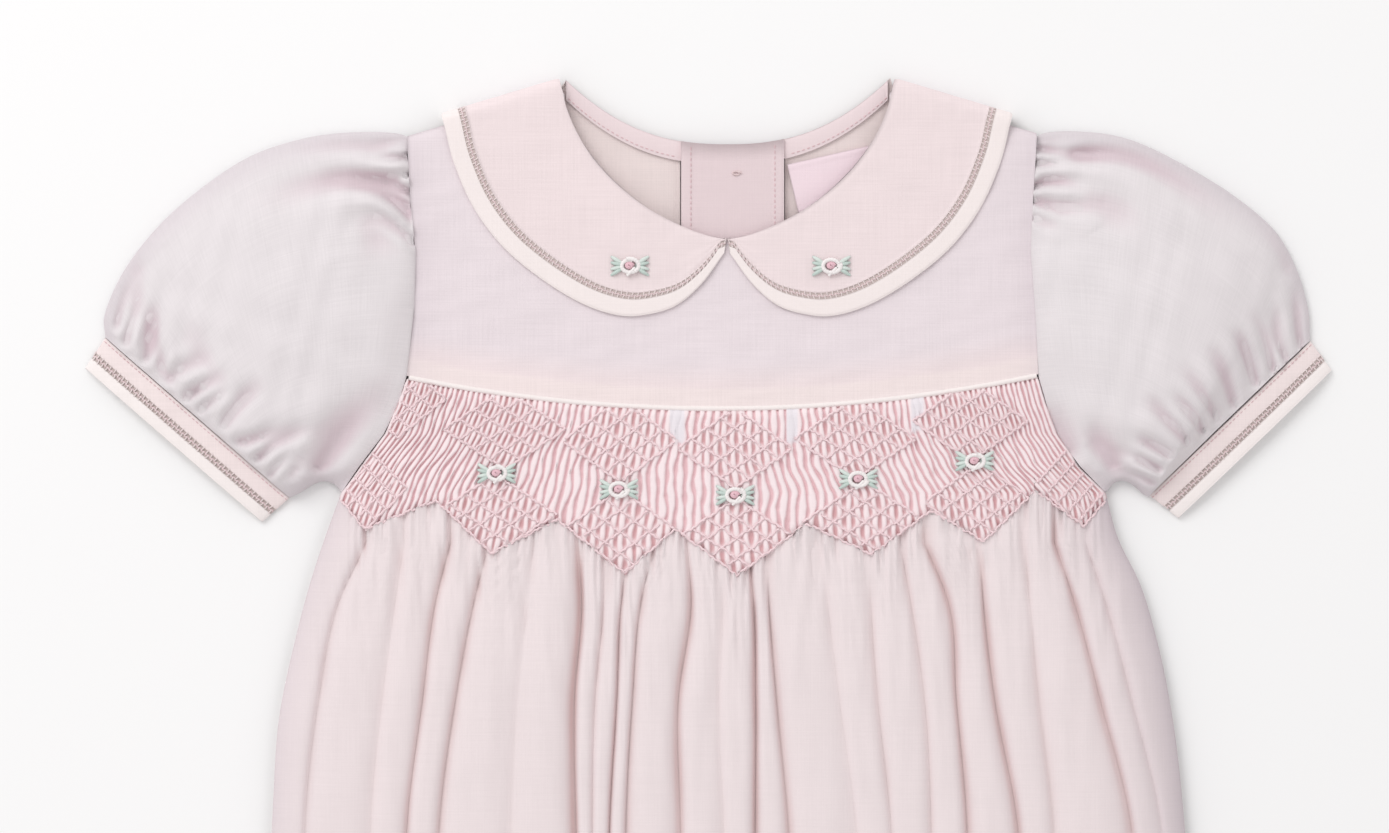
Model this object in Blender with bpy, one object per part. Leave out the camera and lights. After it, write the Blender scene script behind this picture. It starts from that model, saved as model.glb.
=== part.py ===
"""A baby's smocked bubble romper, lying flat on its back with its front up.

Lengths in the tables are millimetres. x runs to the viewer's right, y runs up the garment from
the neck points at y = 0, and z runs up from the surface that the garment lies on. The cloth is
a wall of its own thickness everywhere, each sewn piece is an object, and seams stay 0.3 apart.
"""

import math

import bmesh
import bpy
import numpy as np

MM = 0.001
SEAM_GAP = 0.3
ARMHOLE_EASE = 0.8

# Cloth
WALL = 1.2
TRIM_WALL = 1.1

# Heights of the layers above the surface
BACK_YOKE_BASE = 1.5
BINDING_BASE = 2.9
PLACKET_BASE = 4.2
FRONT_YOKE_BASE = 5.5
COLLAR_BASE = 7.0
SIDE_SEAM_TOP = 2.7
LEG_SEAM_TOP = 4.2

# Neck and shoulder
NECK_HALF_WIDTH = 51.6
NECK_POINT_Y = -4.1
FRONT_NECK_DEPTH = 47.0
FRONT_NECK_POWER = 1.6
BACK_NECK_DEPTH = 21.3
BACK_NECK_POWER = 2.4
SHOULDER_SLOPE = 0.302
BINDING_WIDTH = 6.2
BINDING_REACH = 50.4

# Back opening
PLACKET_LEFT = -14.7
PLACKET_RIGHT = 18.2
BUTTON_X = 3.2
BUTTON_RADIUS = 4.5
BUTTON_HEIGHT = 1.0
BUTTON_BASE = 0.2
BUTTON_YS = (-30.4, -61.0, -91.6)
LABEL_WIDTH = 26.0
LABEL_HEIGHT = 16.0
LABEL_CORNER = (18.9, -27.6)
LABEL_TILT = math.radians(13)

# Yoke seam with its piping
PIPING_RADIUS = 0.85
PIPING_SIDES = 8
PIPING_STEPS = 24
YOKE_SEAM_ENDS = (-94.2, -93.6)
YOKE_SEAM_DIP = 10.2

# Smocking
PLEATS = 100
PLEAT_CROWDING = 0.22
PLEAT_HEIGHT = 1.1
PLEAT_HELD = 0.55
DIAMOND_RISE = 0.3
PLEAT_RELEASE = 0.5
SMOCK_ROWS = 7
SMOCK_INSIDE_ROWS = 2

# Collar
COLLAR_BAND = 6.5
COLLAR_STATIONS = 40
COLLAR_CELLS = 3

# Sleeves and bands
SLEEVE_POINTS = (36, 10)
BAND_POINTS = (16, 10)
INSIDE_POINTS = (12, 8)
SLEEVE_SECTIONS = 13
SLEEVE_WALL = 1.1
CAP_GATHERS = 7
CAP_SHARE = 0.42
CUFF_GATHERS = 13
CAP_GATHER_HEIGHT = 1.1
CUFF_GATHER_HEIGHT = 0.9
CUFF_HEIGHT = 4.2

# Crotch
CROTCH_HALF_WIDTH = 34.6
CROTCH_TOP_Y = -384.0
CROTCH_BAND_DEPTH = 11.4
LEG_BAND_DEPTH = 12.0
LEG_OUTER = (116.0, -344.0)
LEG_ARCH = 6.0

# Armhole seams: y, x on the left side, x on the right side
ARMHOLE = (
    (-18.8, -100.3, 97.1),
    (-38.8, -99.2, 95.8),
    (-55.4, -97.5, 95.2),
    (-75.7, -98.0, 96.7),
    (-94.0, -100.4, 97.6),
    (-103.0, -103.2, 100.2),
    (-112.1, -107.6, 103.5),
    (-122.1, -115.2, 110.6),
    (-130.5, -121.1, 118.9),
)

# Side edges below the armholes: y, left x, right x
SIDES = (
    (-130.5, -121.1, 118.9),
    (-144.6, -126.2, 122.7),
    (-158.7, -130.8, 129.5),
    (-176.5, -135.5, 134.9),
    (-201.3, -140.6, 139.9),
    (-226.6, -142.4, 142.9),
    (-262.0, -143.2, 145.0),
    (-295.0, -140.0, 142.0),
    (-322.0, -131.0, 132.5),
    (-344.0, -116.0, 116.0),
)

# Lower edge of the smocking, point by point from the left side: x, y
SMOCK_HEM = (
    (-122.0, -132.4),
    (-113.0, -142.4),
    (-91.1, -133.3),
    (-73.6, -149.9),
    (-52.9, -139.3),
    (-31.9, -156.2),
    (-16.3, -142.1),
    (3.1, -156.8),
    (24.7, -140.5),
    (45.1, -150.2),
    (63.5, -136.5),
    (80.1, -146.2),
    (96.4, -130.2),
    (111.4, -141.5),
    (120.0, -132.0),
)

# Diamonds of trellis stitching: centre x, centre y, half width, half height
DIAMONDS = (
    (-103.0, -101.0, 15.0, 12.0),
    (-69.5, -110.5, 19.0, 12.5),
    (-33.5, -114.0, 18.0, 13.0),
    (2.5, -116.5, 18.0, 12.5),
    (40.0, -113.5, 19.0, 12.5),
    (76.0, -108.0, 18.0, 12.5),
    (-113.0, -129.0, 13.0, 13.0),
    (-72.5, -137.0, 19.0, 12.5),
    (-33.5, -142.5, 18.5, 13.5),
    (3.0, -144.5, 18.5, 12.5),
    (43.0, -139.5, 19.5, 12.5),
    (79.0, -133.5, 17.5, 12.5),
    (109.0, -127.0, 12.0, 13.0),
)

# Valleys between the skirt's folds: x at the smocking, at y = -164, -195 and -233, at the hem; depth
VALLEY_YS = (-146.0, -164.0, -195.0, -233.0, -380.0)
VALLEYS = (
    (-113.0, -121.2, -127.6, -131.8, -108.0, 2.5),
    (-101.0, -103.6, -107.7, -111.2, -90.5, 1.4),
    (-86.5, -91.0, -95.1, -99.8, -80.5, 4.0),
    (-74.5, -79.0, -84.8, -89.8, -72.0, 4.0),
    (-60.5, -62.3, -65.7, -67.6, -54.5, 1.2),
    (-46.6, -45.4, -47.6, -47.2, -39.0, 6.4),
    (-38.6, -38.6, -41.2, -42.0, -33.0, 2.2),
    (-30.6, -33.0, -34.4, -36.6, -27.5, 4.0),
    (-22.6, -26.8, -29.6, -31.6, -22.0, 3.6),
    (-12.6, -11.2, -15.2, -14.6, -12.0, 5.0),
    (-3.0, -1.4, -2.6, -1.2, -2.0, 1.4),
    (6.6, 8.3, 9.0, 8.8, 6.5, 5.6),
    (12.4, 13.0, 15.4, 19.0, 15.0, 4.0),
    (29.6, 31.2, 35.0, 40.0, 32.0, 1.4),
    (44.2, 44.8, 47.0, 51.0, 41.0, 2.4),
    (54.0, 57.2, 61.6, 63.6, 51.0, 2.6),
    (61.6, 69.0, 71.6, 74.8, 60.0, 4.6),
    (78.8, 80.0, 83.6, 90.6, 72.0, 5.0),
    (93.0, 94.4, 97.2, 101.6, 80.0, 2.4),
    (102.4, 108.4, 116.6, 126.0, 94.0, 4.6),
    (112.0, 118.0, 126.2, 135.4, 105.0, 2.0),
)
FOLD_CELLS = (0.0, 0.2, 0.5, 0.8)
SKIRT_STEPS = (0.025, 0.07, 0.13, 0.21, 0.30, 0.40, 0.51, 0.63, 0.75, 0.86, 0.95, 1.0)
SIDE_ROUNDING = 26.0

# Height of the front's cloth along the middle: y, z
FRONT_CREST = (
    (-92.0, 6.7),
    (-110.0, 7.6),
    (-128.0, 8.8),
    (-150.0, 10.2),
    (-190.0, 11.8),
    (-250.0, 12.6),
    (-310.0, 11.4),
    (-350.0, 8.4),
    (-400.0, 5.2),
)

# Height of the front's cloth along its side edges: y, z
FRONT_EDGE = ((-92.0, 6.7), (-105.0, 6.2), (-118.0, 4.6), (-130.5, SIDE_SEAM_TOP))

# Collar, from the centre front round the shoulder to the centre back:
# inner x, inner y, outer x, outer y, turn in degrees (0 on the front, 180 on the back)
COLLAR = (
    (-0.25, -51.2, -0.9, -55.6, 0),
    (-5.0, -50.3, -8.0, -65.2, 0),
    (-11.0, -48.3, -15.8, -71.8, 0),
    (-18.0, -45.2, -24.5, -74.6, 0),
    (-25.0, -41.3, -33.5, -75.0, 0),
    (-31.8, -36.2, -45.0, -71.4, 0),
    (-38.2, -30.2, -58.0, -63.6, 0),
    (-43.6, -23.4, -70.0, -53.6, 0),
    (-47.6, -16.4, -79.2, -41.4, 0),
    (-50.2, -10.0, -85.4, -27.4, 0),
    (-51.3, -5.2, -88.2, -16.4, 8),
    (-51.5, -4.3, -88.4, -15.5, 50),
    (-51.5, -4.2, -88.4, -15.4, 90),
    (-51.5, -4.3, -88.4, -15.5, 130),
    (-50.6, -5.4, -88.2, -16.6, 172),
    (-45.6, -8.0, -84.0, -31.0, 180),
    (-38.0, -12.4, -72.0, -45.0, 180),
    (-28.0, -17.2, -54.0, -55.4, 180),
    (-18.0, -20.4, -34.0, -61.4, 180),
    (-11.0, -21.8, -17.0, -62.0, 180),
    (-8.4, -22.6, -9.4, -54.0, 180),
)

# Sleeve sections, from the armhole to the cuff: top, middle and bottom point of the flattened
# ring, height of its lower side, height of its upper side, and how far it follows the armhole
SLEEVE_LEFT = (
    (-100.7, -18.9, -97.9, -72.0, -121.6, -129.8, 1.5, 6.7, 1.0),
    (-106.5, -16.6, -104.4, -73.0, -122.8, -127.8, 0.5, 8.8, 0.62),
    (-118.0, -16.6, -114.0, -74.0, -124.6, -126.6, 0.0, 11.8, 0.28),
    (-133.0, -18.8, -125.0, -76.0, -127.2, -126.6, 0.0, 14.0, 0.08),
    (-149.0, -24.6, -137.5, -79.5, -130.2, -128.2, 0.0, 15.2, 0.0),
    (-164.0, -34.2, -148.0, -85.0, -133.0, -130.0, 0.0, 14.8, 0.0),
    (-178.0, -46.4, -157.0, -92.0, -135.2, -131.2, 0.0, 12.8, 0.0),
    (-189.0, -60.4, -163.0, -99.5, -136.6, -131.8, 0.0, 9.4, 0.0),
    (-195.2, -74.0, -165.6, -105.0, -137.2, -132.0, 0.0, 6.0, 0.0),
    (-195.2, -81.6, -166.0, -106.9, -137.6, -131.9, 0.0, 4.4, 0.0),
)
SLEEVE_RIGHT = (
    (97.5, -18.9, 95.6, -72.0, 119.4, -129.8, 1.5, 6.7, 1.0),
    (103.6, -15.9, 102.4, -73.0, 120.8, -128.2, 0.5, 8.8, 0.62),
    (115.0, -16.4, 112.0, -74.0, 123.0, -126.2, 0.0, 11.8, 0.28),
    (128.0, -19.4, 122.0, -76.0, 125.6, -126.6, 0.0, 14.0, 0.08),
    (143.5, -27.6, 133.5, -80.5, 128.0, -128.6, 0.0, 15.2, 0.0),
    (159.0, -37.2, 144.0, -86.5, 130.0, -130.4, 0.0, 14.8, 0.0),
    (171.5, -47.8, 152.5, -93.0, 131.4, -131.4, 0.0, 12.8, 0.0),
    (178.4, -59.4, 154.8, -98.0, 132.2, -131.8, 0.0, 9.4, 0.0),
    (182.4, -72.6, 156.4, -103.2, 132.6, -131.6, 0.0, 6.0, 0.0),
    (183.0, -82.6, 157.6, -106.7, 132.9, -131.1, 0.0, 4.4, 0.0),
)

# Cuffs: upper end, lower end, and how far each edge lies from the sleeve along the arm
CUFF_LEFT = (-195.2, -81.9, -137.4, -132.2)
CUFF_RIGHT = (183.2, -82.9, 132.8, -131.4)
CUFF_BAND = (0.3, 6.2)
CUFF_HEM = (6.8, 11.2)
CUFF_NARROWING = 1.6

PINK = (0.86, 0.72, 0.72)
CREAM = (0.88, 0.80, 0.76)
THREAD_PINK = (0.86, 0.62, 0.62)
PEARL = (0.90, 0.88, 0.85)
LABEL_WHITE = (0.90, 0.82, 0.83)


def clear_scene():
    """Removes what the file holds, so that the romper stands alone."""
    for thing in list(bpy.data.objects):
        bpy.data.objects.remove(thing, do_unlink=True)


def cloth_material(name, colour, roughness):
    """A plain Principled material for one piece."""
    material = bpy.data.materials.new(name)
    material.use_nodes = True
    shader = material.node_tree.nodes["Principled BSDF"]
    shader.inputs["Base Color"].default_value = (*colour, 1.0)
    shader.inputs["Roughness"].default_value = roughness
    shader.inputs["Metallic"].default_value = 0.0
    return material


def column(table, index):
    """One column of a table, as an array."""
    return np.array([row[index] for row in table], dtype=float)


def read_table(table, key, index):
    """Reads a table whose first column falls from row to row, such as y down the garment."""
    return np.interp(-np.asarray(key, dtype=float), -column(table, 0), column(table, index))


def read_smooth(keys, values, key):
    """Reads values at falling keys along a smooth curve through them."""
    keys = -np.asarray(keys, dtype=float)
    values = np.asarray(values, dtype=float)
    place = np.clip(-np.asarray(key, dtype=float), keys[0], keys[-1])
    slopes = np.gradient(values, keys)
    left = np.clip(np.searchsorted(keys, place, side="right") - 1, 0, len(keys) - 2)
    span = keys[left + 1] - keys[left]
    t = (place - keys[left]) / span
    return (
        values[left] * (1 + 2 * t) * (1 - t) ** 2
        + slopes[left] * span * t * (1 - t) ** 2
        + values[left + 1] * t**2 * (3 - 2 * t)
        + slopes[left + 1] * span * t**2 * (t - 1)
    )


def smooth_rows(table, count):
    """Samples a table's rows evenly along a smooth curve through them."""
    rows = np.array(table, dtype=float)
    padded = np.vstack([2 * rows[0] - rows[1], rows, 2 * rows[-1] - rows[-2]])
    samples = []
    for place in np.linspace(0, len(rows) - 1, count):
        start = min(int(place), len(rows) - 2)
        t = place - start
        before, left, right, after = padded[start : start + 4]
        samples.append(
            0.5
            * (
                2 * left
                + (right - before) * t
                + (2 * before - 5 * left + 4 * right - after) * t**2
                + (3 * left - before - 3 * right + after) * t**3
            )
        )
    return np.array(samples)


class Shell:
    """A closed wall, gathered as points and faces and then made into an object."""

    def __init__(self):
        self.points = []
        self.faces = []

    def add_grid(self, grid):
        """Adds a grid of points and returns the points' numbers in the same layout."""
        rows, columns, _ = grid.shape
        first = len(self.points)
        self.points.extend(grid.reshape(-1, 3).tolist())
        return first + np.arange(rows * columns).reshape(rows, columns)

    def skin(self, numbers, flip=False, ring=False):
        """Covers a grid with quads. A ring joins its last column to its first."""
        rows, columns = numbers.shape
        for j in range(rows - 1):
            for i in range(columns if ring else columns - 1):
                k = (i + 1) % columns
                quad = [numbers[j, i], numbers[j + 1, i], numbers[j + 1, k], numbers[j, k]]
                self.faces.append(quad[::-1] if flip else quad)

    def shares(self, line):
        """How far along its row each point lies, read on the axis that the row follows."""
        spots = np.array([self.points[number] for number in line])
        reach = spots[-1] - spots[0]
        axis = int(np.argmax(np.abs(reach)))
        return (spots[:, axis] - spots[0, axis]) / reach[axis]

    def zip_lines(self, first, second, first_shares=None, second_shares=None):
        """Joins two rows of points of any two lengths with triangles."""
        if len(first) == len(second):
            first_shares = second_shares = np.linspace(0, 1, len(first))
        elif first_shares is None:
            first_shares = self.shares(first)
            second_shares = self.shares(second)
        i = 0
        j = 0
        last_i = len(first) - 1
        last_j = len(second) - 1
        while i < last_i or j < last_j:
            if j == last_j or (i < last_i and first_shares[i + 1] <= second_shares[j + 1]):
                self.faces.append([first[i], second[j], first[i + 1]])
                i += 1
            else:
                self.faces.append([first[i], second[j], second[j + 1]])
                j += 1

    def make(self, name, colour, roughness=0.85):
        """Makes the object, with its faces pointing out and its soft edges smooth."""
        mesh = bpy.data.meshes.new(name)
        mesh.from_pydata((np.array(self.points) * MM).tolist(), [], [list(map(int, f)) for f in self.faces])
        shape = bmesh.new()
        shape.from_mesh(mesh)
        bmesh.ops.recalc_face_normals(shape, faces=shape.faces)
        shape.to_mesh(mesh)
        shape.free()
        mesh.shade_smooth()
        mesh.set_sharp_from_angle(angle=math.radians(50))
        thing = bpy.data.objects.new(name, mesh)
        thing.data.materials.append(cloth_material(name, colour, roughness))
        bpy.context.scene.collection.objects.link(thing)
        return thing


def grid_normals(grid):
    """Unit normals of a grid whose rows run down the garment, pointing up from the surface."""
    down = np.gradient(grid, axis=0)
    across = np.gradient(grid, axis=1)
    normal = np.cross(down, across)
    return normal / np.linalg.norm(normal, axis=2, keepdims=True)


def make_panel(name, outer, inner, colour, roughness=0.85):
    """A panel with an outer and an inner grid, closed round its rim."""
    shell = Shell()
    top = shell.add_grid(outer)
    under = shell.add_grid(inner)
    shell.skin(top)
    shell.skin(under, flip=True)
    shell.zip_lines(top[0], under[0])
    shell.zip_lines(top[-1], under[-1])
    shell.zip_lines(top[:, 0], under[:, 0])
    shell.zip_lines(top[:, -1], under[:, -1])
    return shell.make(name, colour, roughness)


def lowered(grid, drop):
    """The same grid, moved down by a thickness."""
    return grid - np.array([0.0, 0.0, drop])


def front_neck_y(x):
    """The front neckline, a rounded curve through the neck points."""
    reach = np.clip(np.abs(x) / NECK_HALF_WIDTH, 0, 1)
    return NECK_POINT_Y - FRONT_NECK_DEPTH * (1 - reach**FRONT_NECK_POWER) ** (1 / FRONT_NECK_POWER)


def back_neck_y(x):
    """The back neckline, shallower and flatter."""
    reach = np.clip(np.abs(x) / NECK_HALF_WIDTH, 0, 1)
    return -BACK_NECK_DEPTH * (1 - reach**BACK_NECK_POWER)


def shoulder_y(x):
    """The shoulder seam, falling from the neck point to the armhole."""
    return NECK_POINT_Y - SHOULDER_SLOPE * (np.abs(x) - NECK_HALF_WIDTH)


def yoke_seam_y(x):
    """The yoke seam, which sags towards the centre."""
    across = (np.asarray(x, dtype=float) + 100.4) / 198.0
    ends = YOKE_SEAM_ENDS[0] + (YOKE_SEAM_ENDS[1] - YOKE_SEAM_ENDS[0]) * across
    return ends - YOKE_SEAM_DIP * np.clip(4 * across * (1 - across), 0, 1)


def smock_hem_y(x):
    """The zigzag along which the smocking ends."""
    return np.interp(x, column(SMOCK_HEM, 0), column(SMOCK_HEM, 1))


def lower_edge_y(x):
    """The front's and back's lowest edge: slanted along each leg, level at the crotch."""
    along = np.clip((np.abs(x) - CROTCH_HALF_WIDTH) / (LEG_OUTER[0] - CROTCH_HALF_WIDTH), 0, None)
    arch = LEG_ARCH * 4 * along * np.clip(1 - along, 0, 1)
    return CROTCH_TOP_Y + (LEG_OUTER[1] - CROTCH_TOP_Y) * along + arch


def edge_x(y):
    """Left and right edge of the front and back at a height, along armhole and side seam."""
    y = np.asarray(y, dtype=float)
    edges = []
    for index in (1, 2):
        side = read_smooth(column(SIDES, 0), column(SIDES, index), y)
        edges.append(np.where(y > SIDES[0][0], read_table(ARMHOLE, y, index), side))
    return edges[0] + ARMHOLE_EASE, edges[1] - ARMHOLE_EASE


def front_height(x, y):
    """Height of the front's outer surface, before pleats and folds."""
    left, right = edge_x(y)
    rim = np.clip(np.minimum(x - left, right - x) / SIDE_ROUNDING, 0, 1)
    round_side = np.sqrt(1 - (1 - rim) ** 2)
    edge = read_table(FRONT_EDGE, y, 1)
    crest = read_table(FRONT_CREST, y, 1)
    height = edge + (crest - edge) * round_side
    seam = np.where(np.abs(x) < CROTCH_HALF_WIDTH + 3, SIDE_SEAM_TOP, LEG_SEAM_TOP)
    seam = np.minimum(seam, height)
    near_hem = np.clip((y - lower_edge_y(x)) / 24.0, 0, 1)
    return seam + (height - seam) * np.sqrt(1 - (1 - near_hem) ** 2)


def pleat_across(u):
    """Spreads the pleats over the width, closer together near the armholes."""
    return u - PLEAT_CROWDING * np.sin(2 * math.pi * u) / (2 * math.pi)


def in_diamonds(x, y):
    """1 well inside a diamond of trellis stitching, 0 outside all of them."""
    inside = np.zeros_like(x)
    for centre_x, centre_y, half_width, half_height in DIAMONDS:
        away = np.abs(x - centre_x) / half_width + np.abs(y - centre_y) / half_height
        inside = np.maximum(inside, np.clip((1.08 - away) * 4, 0, 1))
    return inside


def smocked_grid():
    """The smocked part of the front, a ridge and a groove for each pleat."""
    columns = 2 * PLEATS + 1
    across = pleat_across(np.linspace(0, 1, columns))
    grid = np.zeros((SMOCK_ROWS + 1, columns, 3))
    for j in range(SMOCK_ROWS + 1):
        down = j / SMOCK_ROWS
        x = -110.0 + 220.0 * across
        for _ in range(4):
            top = yoke_seam_y(x) - PIPING_RADIUS - SEAM_GAP
            y = top + (smock_hem_y(x) - top) * down
            left, right = edge_x(y)
            x = left + (right - left) * across
        held = in_diamonds(x, y)
        ridge = np.where(np.arange(columns) % 2 == 1, 0.5, -0.5) * PLEAT_HEIGHT * (1 - PLEAT_HELD * held)
        ridge[0] = 0.0
        ridge[-1] = 0.0
        if j == SMOCK_ROWS:
            ridge = ridge * PLEAT_RELEASE
        grid[j] = np.stack([x, y, front_height(x, y) + ridge + DIAMOND_RISE * held], axis=1)
    return grid


def valley_x(y):
    """The x of each side edge and each valley at the heights y, one row for each."""
    left, right = edge_x(y)
    rows = [left]
    for row in VALLEYS:
        rows.append(read_smooth(VALLEY_YS, row[: len(VALLEY_YS)], y))
    rows.append(right)
    return np.array(rows)


def skirt_point_rows(steps):
    """The skirt's points: one column on each valley and three on the fold between two."""
    depths = np.array([0.0] + [row[-1] for row in VALLEYS] + [0.0])
    places = [i + t for i in range(len(depths) - 1) for t in FOLD_CELLS] + [len(depths) - 1.0]
    places = np.array(places)
    first = np.minimum(places.astype(int), len(depths) - 2)
    t = places - first
    rows = []
    for step in steps:
        y = np.full(len(places), -146.0 - 230.0 * step)
        for _ in range(6):
            lines = valley_x(y)
            index = np.arange(len(places))
            x = lines[first, index] * (1 - t) + lines[first + 1, index] * t
            top = smock_hem_y(x)
            y = top + (lower_edge_y(x) - top) * step
        width = np.abs(lines[first + 1, index] - lines[first, index])
        depth = depths[first] * (1 - t) + depths[first + 1] * t
        fade = min(1.0, 0.45 + step * 8) * (1 - 0.75 * max(0.0, (step - 0.7) / 0.3) ** 1.5)
        arch = 1 - np.abs(2 * t - 1) ** 3
        rim = np.minimum(x - lines[0], lines[-1] - x)
        open_side = np.clip(rim / 12.0, 0, 1)
        fold = (-depth * (1 - arch) + np.minimum(width * 0.06, 1.0) * arch) * fade * open_side
        z = np.maximum(front_height(x, y) + fold, SIDE_SEAM_TOP)
        rows.append(np.stack([x, y, z], axis=1))
    return np.array(rows)


def make_front_panel():
    """The front: smocking at the top, then the skirt's folds down to the legs, in one cloth."""
    smocked = smocked_grid()
    skirt = skirt_point_rows(SKIRT_STEPS)
    skirt_inside = (skirt - WALL * grid_normals(skirt))[::2]
    skirt_inside = np.concatenate([skirt_inside, lowered(skirt[-1:], WALL)])
    skirt_inside[:, [0, -1]] = lowered(np.concatenate([skirt[::2], skirt[-1:]])[:, [0, -1]], WALL)
    hem_x = skirt[0, :, 0]
    inside_rows = []
    for j in range(SMOCK_INSIDE_ROWS + 1):
        down = j / (SMOCK_INSIDE_ROWS + 0.6)
        share = (hem_x - hem_x[0]) / (hem_x[-1] - hem_x[0])
        x = hem_x
        for _ in range(4):
            top = yoke_seam_y(x) - PIPING_RADIUS - SEAM_GAP
            y = top + (smock_hem_y(x) - top) * down
            left, right = edge_x(y)
            x = left + (right - left) * share
        inside_rows.append(np.stack([x, y, front_height(x, y) - 0.5 * PLEAT_HEIGHT - WALL], axis=1))
    inside = np.concatenate([np.array(inside_rows), skirt_inside])
    shell = Shell()
    upper = shell.add_grid(smocked)
    lower = shell.add_grid(skirt)
    under = shell.add_grid(inside)
    shell.skin(upper)
    shell.zip_lines(upper[-1], lower[0])
    shell.skin(lower)
    shell.skin(under, flip=True)
    shell.zip_lines(upper[0], under[0])
    shell.zip_lines(lower[-1], under[-1])
    shell.zip_lines(np.concatenate([upper[:, 0], lower[:, 0]]), under[:, 0])
    shell.zip_lines(np.concatenate([upper[:, -1], lower[:, -1]]), under[:, -1])
    return shell.make("front_panel", THREAD_PINK)


def make_back_skirt():
    """The back below its yoke, flat on the surface, as wide as the front."""
    columns = 20
    rows = 14
    across = np.linspace(0, 1, columns + 1)
    grid = np.zeros((rows + 1, columns + 1, 3))
    for j in range(rows + 1):
        down = j / rows
        x = -140.0 + 280.0 * across
        for _ in range(6):
            top = yoke_seam_y(x) - 1.0
            y = top + (lower_edge_y(x) - top) * down
            left, right = edge_x(y)
            x = left + (right - left) * across
        grid[j] = np.stack([x, y, np.full_like(x, WALL)], axis=1)
    return make_panel("back_panel", grid, lowered(grid, WALL), PINK)


def yoke_rows(x_of, top_of, bottom_of, columns, rows):
    """A grid between a top line and a bottom line, its columns following the armhole."""
    grid = np.zeros((rows + 1, columns + 1, 3))
    for j in range(rows + 1):
        base = x_of
        y = top_of(base) + (bottom_of(base) - top_of(base)) * j / rows
        left = read_table(ARMHOLE, y, 1) + ARMHOLE_EASE
        right = read_table(ARMHOLE, y, 2) - ARMHOLE_EASE
        stretch = np.where(base < 0, left / base.min(), right / base.max())
        lean = np.clip((np.abs(base) - 55.0) / 45.0, 0, 1)
        x = base * (1 + (stretch - 1) * lean)
        grid[j] = np.stack([x, y, np.zeros_like(x)], axis=1)
    return grid


def make_front_yoke():
    """The plain yoke between the neckline, the shoulders, the armholes and the piping."""
    turns = np.linspace(-math.pi / 2, math.pi / 2, 19)
    neck = (NECK_HALF_WIDTH + SEAM_GAP) * np.sin(turns)
    left = np.linspace(-100.0, -NECK_HALF_WIDTH - SEAM_GAP, 6)[:-1]
    right = np.linspace(96.8, NECK_HALF_WIDTH + SEAM_GAP, 6)[:-1][::-1]
    across = np.concatenate([left, neck, right])

    def top(x):
        return np.where(np.abs(x) < NECK_HALF_WIDTH, front_neck_y(x), shoulder_y(x))

    def bottom(x):
        return yoke_seam_y(x) + PIPING_RADIUS + SEAM_GAP

    grid = yoke_rows(across, top, bottom, len(across) - 1, 6)
    from_shoulder = np.clip((shoulder_y(grid[..., 0]) - grid[..., 1]) / 9.0, 0, 1)
    round_shoulder = np.sqrt(1 - (1 - from_shoulder) ** 2)
    seam = BACK_YOKE_BASE + TRIM_WALL + SEAM_GAP + WALL
    grid[..., 2] = seam + (FRONT_YOKE_BASE + WALL - seam) * round_shoulder
    return make_panel("front_yoke", grid, lowered(grid, WALL), PINK)


def make_back_yoke(name, start, end):
    """One half of the back yoke, from the armhole to the back opening."""
    neck_side = np.array([-50.6, -47.0, -40.0, -30.0, -20.0, PLACKET_LEFT - SEAM_GAP])
    if start > 0:
        neck_side = np.array([PLACKET_RIGHT + SEAM_GAP, 24.0, 32.0, 40.0, 47.0, 50.6])
    outer = np.linspace(math.copysign(NECK_HALF_WIDTH, start), start if start < 0 else end, 5)
    across = np.sort(np.concatenate([neck_side, outer]))

    def top(x):
        return np.where(np.abs(x) < NECK_HALF_WIDTH, back_neck_y(x), shoulder_y(x))

    def bottom(x):
        return yoke_seam_y(x) - 4.0

    grid = np.zeros((6, len(across), 3))
    for j in range(6):
        y = top(across) + (bottom(across) - top(across)) * j / 5
        left = read_table(ARMHOLE, y, 1) + ARMHOLE_EASE
        right = read_table(ARMHOLE, y, 2) - ARMHOLE_EASE
        edge = left if start < 0 else right
        reference = start if start < 0 else end
        lean = np.clip((np.abs(across) - 55.0) / 45.0, 0, 1)
        x = across * (1 + (edge / reference - 1) * lean)
        grid[j] = np.stack([x, y, np.full_like(x, BACK_YOKE_BASE + TRIM_WALL)], axis=1)
    return make_panel(name, grid, lowered(grid, TRIM_WALL), PINK)


def make_strip(name, across, top_y, bottom_y, top_z, thickness, colour, rows=2):
    """A flat strip between two lines, such as a placket or a binding."""
    grid = np.zeros((rows + 1, len(across), 3))
    for j in range(rows + 1):
        y = top_y + (bottom_y - top_y) * j / rows
        grid[j] = np.stack([across, y, np.full_like(across, top_z)], axis=1)
    return make_panel(name, grid, lowered(grid, thickness), colour)


def make_back_opening():
    """The two layers of the back placket, the binding round the back neck, the label, the buttons."""
    inside = np.linspace(PLACKET_LEFT + SEAM_GAP, PLACKET_RIGHT - SEAM_GAP, 7)
    foot = np.full_like(inside, -99.5)
    make_strip(
        "back_placket_over", inside, back_neck_y(inside), foot, BACK_YOKE_BASE + TRIM_WALL, TRIM_WALL, PINK
    )
    make_strip(
        "back_placket_under", inside, back_neck_y(inside), foot, PLACKET_BASE + TRIM_WALL - 0.1, 1.0, PINK
    )
    reach = np.linspace(-BINDING_REACH, BINDING_REACH, 21)
    neck = back_neck_y(reach)
    make_strip("neck_binding", reach, neck, neck - BINDING_WIDTH, BINDING_BASE + 1.0, 1.0, CREAM, rows=1)
    make_label()
    for number, y in enumerate(BUTTON_YS, start=1):
        make_button(f"back_button_{number}", y)


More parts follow.
